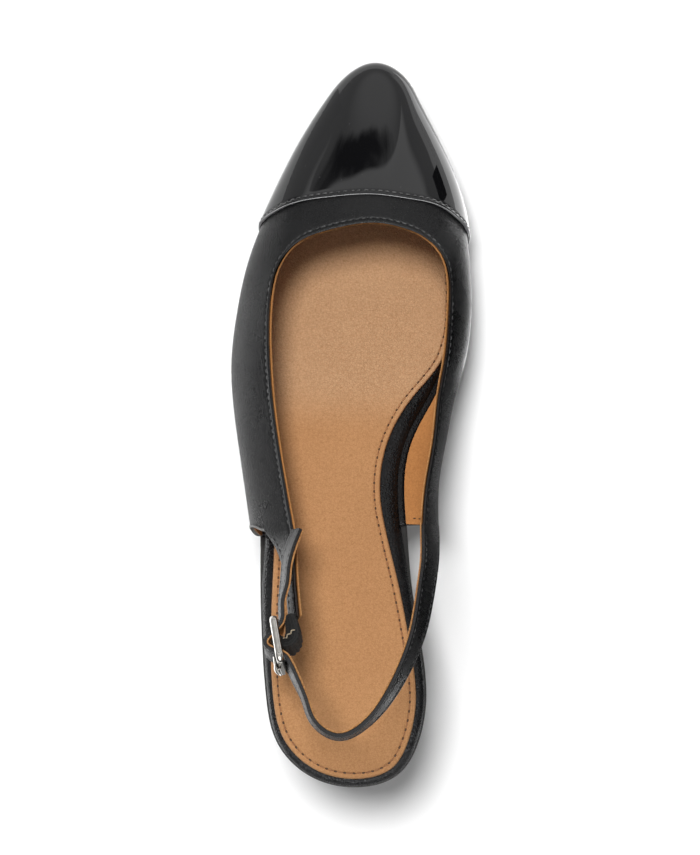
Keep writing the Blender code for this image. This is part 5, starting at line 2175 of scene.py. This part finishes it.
@dataclass
class ElasticUnit:
    """Elastic between the quarter's tab and the buckle's bar, with frayed ends and a zigzag seam."""

    buckle: BuckleUnit
    wardrobe: Wardrobe
    thickness: float = 3.2
    width: float = 8.0
    rib_pitch: float = 1.3
    rib_height: float = 0.5
    squareness: float = 0.35
    loop_gap: float = 0.3
    fibres: int = 150
    fibre_root: float = 0.3
    fibre_spread: float = 0.7
    fibre_reach: tuple = (0.5, 1.4)
    fibre_curl: float = 0.5
    seed: int = 11
    # Distances rearward and outward of the band's centre line, from the tab to the bar
    path: tuple = ((-8.9, -5.4), (-5.2, -5.9), (-1.8, -5.9), (0.3, -5.0), (1.3, -3.4), (1.1, -1.6))
    # The same for its folded end, and the ends of the zigzag
    fold: tuple = ((-8.2, -4.4), (-5.0, -4.2), (-2.2, -3.9), (0.2, -2.9), (1.0, -1.5))
    zigzag: tuple = ((0.2, -2.3), (-2.7, -6.2))

    SIDES = 40
    PATH_POINTS = 90
    LOOP_POINTS = 36
    ZIGZAG_POINTS = 12
    FOLD_SHARE = 0.6
    LOOP_SHARE = 0.33
    POINT = 0.01
    FIBRE_GIRTHS = (0.09, 0.085, 0.075, 0.06, 0.02)
    FIBRE_SIDES = 5
    STITCH = StitchStyle(pitch=0.95, length=1.5, radius=0.17, lift=0.16, dive=0.0, slant=42.0)

    def band(self, path: Array, share: float, closed: bool = False) -> Array:
        """Grid of a flat band along a path in the buckle's plane.

        Args:
            path: distances rearward and outward of the centre line.
            share: share of the full thickness.
            closed: whether the path is a loop.

        Returns:
            Rounded sections along the path.
        """
        ahead = heading(path, closed)
        beside = np.column_stack([-ahead[:, 1], ahead[:, 0]])
        angles = np.linspace(0, 2 * pi, self.SIDES, endpoint=False)
        ways = np.array([np.cos(angles), np.sin(angles)])
        flat, tall = np.sign(ways) * np.abs(ways) ** self.squareness
        flat = flat * self.thickness / 2 * share
        tall = tall * self.width / 2
        rings = []
        for point, side, run in zip(path, beside, running(path)):
            swell = self.rib_height * share * abs(sin(pi * run / self.rib_pitch))
            rings.append([self.buckle.place(*(point + side * (n - swell * (n < 0))), b)
                          for n, b in zip(flat, tall)])
        if closed:
            return np.array([*rings, rings[0]])
        return np.array([self.shrunk(rings[0]), *rings, self.shrunk(rings[-1])])

    def shrunk(self, ring: list) -> Array:
        """Ring drawn in to its middle, to close an end."""
        middle = np.mean(ring, axis=0)
        return middle + (np.array(ring) - middle) * self.POINT

    def build(self) -> None:
        """Make the band, its loop round the bar, its frayed fibres and the zigzag."""
        ring = self.buckle.bar_radius + self.loop_gap + self.thickness / 6
        strap, fold = (
            SmoothCurve(np.arange(len(rows)), rows)(np.linspace(0, len(rows) - 1, self.PATH_POINTS))
            for rows in (self.path, self.fold))
        turns = np.linspace(0, 2 * pi, self.LOOP_POINTS, endpoint=False)
        loop = ring * np.column_stack([np.cos(turns), np.sin(turns)])
        bench = MeshBench()
        for band in (self.band(strap, 1.0), self.band(fold, self.FOLD_SHARE),
                     self.band(loop, self.LOOP_SHARE, True)):
            bench.add_grid(band, around=True, flip=True)
        placing = self.wardrobe.placing(Look.ELASTIC, Slot.ELASTIC, "elastic_tab")
        placing.piece("elastic_band", bench)
        self.build_fray(np.vstack([strap, fold]))
        ends = np.array(self.zigzag)
        steps = ends[0] + (ends[1] - ends[0]) * np.linspace(0, 1, self.ZIGZAG_POINTS)[:, None]
        top = np.array([self.buckle.place(*point, self.width / 2) for point in steps])
        line = SeamLine(top, np.repeat(self.buckle.upward[None], len(top), axis=0))
        self.wardrobe.placing(Look.PALE_THREAD, Slot.ELASTIC).sew("elastic_zigzag", self.STITCH, line)

    def build_fray(self, strap: Array) -> None:
        """Loose fibres along the band's top edge.

        Args:
            strap: centre line of the band in the buckle's plane.
        """
        chance = np.random.default_rng(self.seed)
        spread = self.fibre_spread
        girth = np.array(self.FIBRE_GIRTHS)
        shares = np.linspace(0, 1, len(girth))[:, None]
        bench = MeshBench()
        for _ in range(self.fibres):
            place = strap[chance.integers(2, len(strap) - 2)] + chance.uniform(-spread, spread, 2)
            base = self.buckle.place(*place, self.width / 2 - self.fibre_root)
            reach = chance.uniform(*self.fibre_reach)
            drift = chance.uniform(-spread, spread, 2)
            way = self.buckle.upward + self.buckle.rearward * drift[0] + self.buckle.outward * drift[1]
            curl = self.buckle.rearward * chance.uniform(-self.fibre_curl, self.fibre_curl) * shares ** 2
            square = unit(np.cross(way, UP + self.POINT))
            path = base + (way * shares + curl) * reach
            bench.add_grid(sweep(path, girth, square, self.FIBRE_SIDES), around=True)
        self.wardrobe.placing(Look.ELASTIC, Slot.ELASTIC).piece("elastic_fray", bench)


# Studio

@dataclass(frozen=True)
class SoftKey:
    """Broad soft light that falls evenly from one side, in metres and degrees."""

    name: str
    place: tuple
    spread: float
    strength: float

    def build(self) -> None:
        """Shine from the place towards the shoe, outside mirror images."""
        lamp = bpy.data.lights.new(self.name, "SUN")
        lamp.angle = radians(self.spread)
        lamp.energy = self.strength
        thing = bpy.data.objects.new(self.name, lamp)
        thing.location = self.place
        thing.rotation_euler = (-Vector(self.place)).to_track_quat("-Z", "Y").to_euler()
        thing.visible_glossy = False
        bpy.context.scene.collection.objects.link(thing)


@dataclass(frozen=True)
class Card:
    """Card that shows only in reflections, in metres, with the light it sends back."""

    name: str
    place: tuple
    size: tuple
    glow: float

    def build(self) -> None:
        """Stand the card where no camera, shadow or diffuse light meets it."""
        mesh = bpy.data.meshes.new(self.name)
        bm = bmesh.new()
        bmesh.ops.create_cube(bm, size=1.0)
        bmesh.ops.scale(bm, vec=self.size, verts=bm.verts)
        bm.to_mesh(mesh)
        bm.free()
        mesh.materials.append(plain_finish(self.name, (0.0, 0.0, 0.0), self.glow))
        card = bpy.data.objects.new(self.name, mesh)
        card.location = self.place
        card.visible_camera = False
        card.visible_shadow = False
        card.visible_diffuse = False
        bpy.context.scene.collection.objects.link(card)


@dataclass(frozen=True)
class Glow:
    """Round soft patch of light in the room: its direction, the cosines of its rim and core, its light."""

    centre: tuple
    rim: float
    core: float
    light: float


def plain_finish(name: str, colour: Colour, glow: float = 0.0) -> Material:
    """Matt material of one colour.

    Args:
        name: name of the material.
        colour: its colour.
        glow: light that it sends out by itself.

    Returns:
        The new material.
    """
    finish = bpy.data.materials.new(name)
    finish.use_nodes = True
    values = {"Base Color": (*colour, 1.0), "Roughness": 0.9, "Specular IOR Level": 0.0,
              "Emission Color": (glow, glow, glow, 1.0), "Emission Strength": 1.0}
    for key, value in values.items():
        finish.node_tree.nodes["Principled BSDF"].inputs[key].default_value = value
    return finish


@dataclass
class Studio:
    """Pale floor, soft lights and the camera over the shoe."""

    floor_size: float = 14.0
    floor_drop: float = 0.0002
    floor_colour: Colour = (0.92, 0.92, 0.92)
    camera_place: tuple = (0.04583, -0.0025, 1.2)
    camera_aim: tuple = (0.0, -0.0025, 0.03)
    lens: float = 140.35
    sensor: float = 36.0
    front_glow: float = 0.62
    rear_glow: float = 0.16
    ceiling_glow: float = 0.75
    right_glow: float = 0.75
    fill_glow: float = 0.30
    # From dim to lit: y at the rear and front, x and z of the right wall
    front_edge: tuple = (0.1, 0.7)
    right_edge: tuple = (0.3, 0.5)
    right_top: tuple = (0.17, 0.13)
    # Places on a flat ceiling at height one: bend and edges of the lit part, and the gap's middle and reach
    ceiling_least: float = 0.05
    ceiling_bend: tuple = (0.1, 0.6)
    ceiling_front: tuple = (0.592, 0.568)
    ceiling_sides: tuple = (1.3, 0.8)
    ceiling_rear: tuple = (-0.9, -0.5)
    gap_beside: tuple = (-0.24, 0.48)
    gap_ahead: tuple = (0.665, 0.10)
    gap_noise: tuple = (9.0, 3.0)
    gap_stir: float = 1.3
    gap_rim: tuple = (0.5, 1.5, 0.04, 1.0)
    glows: tuple = (
        Glow((0.03, 0.82, 0.57), 0.88, 0.985, 0.40),
        Glow((-0.985, 0.12, 0.02), 0.93, 0.995, 1.10),
        Glow((0.0, -0.60, 0.80), 0.86, 0.96, 4.0),
    )
    key: SoftKey = SoftKey("overhead_key", (-0.20, 0.58, 1.78), 22.0, 3.3)
    cards: tuple = (
        Card("beside_card", (0.100, -0.02, 0.025), (0.075, 0.19, 0.05), 0.01),
        Card("small_card", (0.082, 0.115, 0.038), (0.006, 0.014, 0.022), 0.01),
        Card("front_card", (-0.215, 0.147, 0.025), (0.36, 0.004, 0.05), 0.58),
        Card("near_strip", (0.048, 0.047, 0.0004), (0.012, 0.06, 0.0004), 2.8),
        Card("left_strip", (-0.2475, -0.07, 0.0004), (0.325, 0.25, 0.0004), 3.1),
        Card("front_strip", (0.080, 0.130, 0.0004), (0.07, 0.14, 0.0004), 3.0),
        Card("rear_strip", (0.0, -0.24, 0.0004), (0.30, 0.20, 0.0004), 0.40),
        # Painted shadow: a dim card, seen only in reflections, that stands in for the floor shaded beside the
        # waist.
        Card("waist_shadow_strip", (0.045, -0.035, 0.0004), (0.03, 0.09, 0.0004), 0.35),
        Card("quarter_strip", (-0.21, -0.030, 0.0008), (0.16, 0.080, 0.0004), 5.5),
    )

    def build(self) -> None:
        """Make the floor, the lights and the camera."""
        self.build_floor()
        for thing in (self.key, *self.cards):
            thing.build()
        self.build_room()
        bpy.context.scene.view_settings.view_transform = "Standard"
        self.build_camera()

    def build_room(self) -> None:
        """Soft room round the shoe: dim behind, lit above, in front and at both sides."""
        world = bpy.data.worlds.new("soft_room")
        world.use_nodes = True
        bench = NodeBench(world.node_tree)
        way = bench.add("TexCoord").outputs["Generated"]
        x, y, z = bench.add("SeparateXYZ", {0: way}).outputs
        room = bench.remap(y, *self.front_edge, self.rear_glow, self.front_glow)
        for glow in self.glows:
            near = bench.add("VectorMath", {0: way, 1: glow.centre}, operation="DOT_PRODUCT").outputs[1]
            room = bench.plus(room, bench.remap(near, glow.rim, glow.core, 0.0, glow.light))
        low = bench.remap(z, *self.right_top, 0.0, self.right_glow)
        room = bench.plus(room, bench.times(bench.remap(x, *self.right_edge), low))
        ceiling, left_over = self.ceiling_and_gap(bench, way, (x, y, z))
        room = bench.times(room, left_over)
        room = bench.plus(room, bench.times(ceiling, self.ceiling_glow))
        mirrored = bench.add("LightPath").outputs["Is Glossy Ray"]
        change = bench.times(mirrored, bench.math("SUBTRACT", room, self.fill_glow))
        light = bench.plus(change, self.fill_glow)
        bench.feed(world.node_tree.nodes["Background"].inputs["Color"], light)
        bpy.context.scene.world = world

    def ceiling_and_gap(self, bench: NodeBench, way: Socket, parts: tuple) -> tuple:
        """Lit ceiling with a curved front edge, and the ragged dark gap just in front of it.

        Args:
            bench: bench on the room's nodes.
            way: direction into the room.
            parts: its three parts.

        Returns:
            Mask of the ceiling, and the share of the other light that is left in each direction.
        """
        x, y, z = parts
        height = bench.math("MAXIMUM", z, self.ceiling_least)
        beside = bench.math("DIVIDE", x, height)
        ahead = bench.math("DIVIDE", y, height)
        shift, bend = self.ceiling_bend
        off = bench.plus(beside, shift)
        curved = bench.math("SUBTRACT", ahead, bench.times(bench.times(off, off), bend))
        ceiling = bench.remap(curved, *self.ceiling_front)
        aside = bench.math("ABSOLUTE", beside)
        for part, edges in ((aside, self.ceiling_sides), (ahead, self.ceiling_rear)):
            ceiling = bench.times(ceiling, bench.remap(part, *edges))
        squares = []
        for part, (centre, reach) in ((beside, self.gap_beside), (curved, self.gap_ahead)):
            off = bench.math("DIVIDE", bench.math("SUBTRACT", part, centre), reach)
            squares.append(bench.times(off, off))
        far = bench.math("SQRT", bench.plus(*squares))
        stir = bench.math("SUBTRACT", bench.noise(way, *self.gap_noise), 0.5)
        ragged = bench.plus(far, bench.times(stir, self.gap_stir))
        return ceiling, bench.math("MAXIMUM", ceiling, bench.remap(ragged, *self.gap_rim))

    def build_floor(self) -> None:
        """Wide pale floor just under the shoe."""
        half = self.floor_size / 2
        mesh = bpy.data.meshes.new("floor")
        corners = [(-half, -half), (half, -half), (half, half), (-half, half)]
        mesh.from_pydata([(x, y, -self.floor_drop) for x, y in corners], [], [(0, 1, 2, 3)])
        mesh.materials.append(plain_finish("pale_floor", self.floor_colour))
        floor = bpy.data.objects.new("floor", mesh)
        bpy.context.scene.collection.objects.link(floor)

    def build_camera(self) -> None:
        """Camera over the shoe with the toe at the top of the image."""
        data = bpy.data.cameras.new("overhead")
        data.sensor_fit = "AUTO"
        data.sensor_width = self.sensor
        data.lens = self.lens
        camera = bpy.data.objects.new("overhead", data)
        back = (Vector(self.camera_place) - Vector(self.camera_aim)).normalized()
        right = Vector((0.0, 1.0, 0.0)).cross(back).normalized()
        up = back.cross(right)
        axes = Matrix((right, up, back)).transposed().to_4x4()
        camera.matrix_world = Matrix.Translation(Vector(self.camera_place)) @ axes
        bpy.context.scene.collection.objects.link(camera)
        bpy.context.scene.camera = camera


def main() -> None:
    """Build the shoe's pieces and the studio."""
    logging.basicConfig(level=logging.INFO, format="%(message)s")
    wardrobe = Wardrobe()
    last = Last()
    sole = SoleTable()
    SoleUnit(last, sole, Outline(last, sole), wardrobe).build()
    HeelUnit(last, wardrobe).build()
    surface = UpperSurface(last, sole, UpperTable())
    UpperUnit(surface, CapLine(surface), wardrobe).build()
    buckle = BuckleUnit(last, wardrobe)
    buckle.build()
    SlingUnit(surface, buckle, wardrobe).build()
    ElasticUnit(buckle, wardrobe).build()
    Studio().build()


if __name__ == "__main__":
    main()
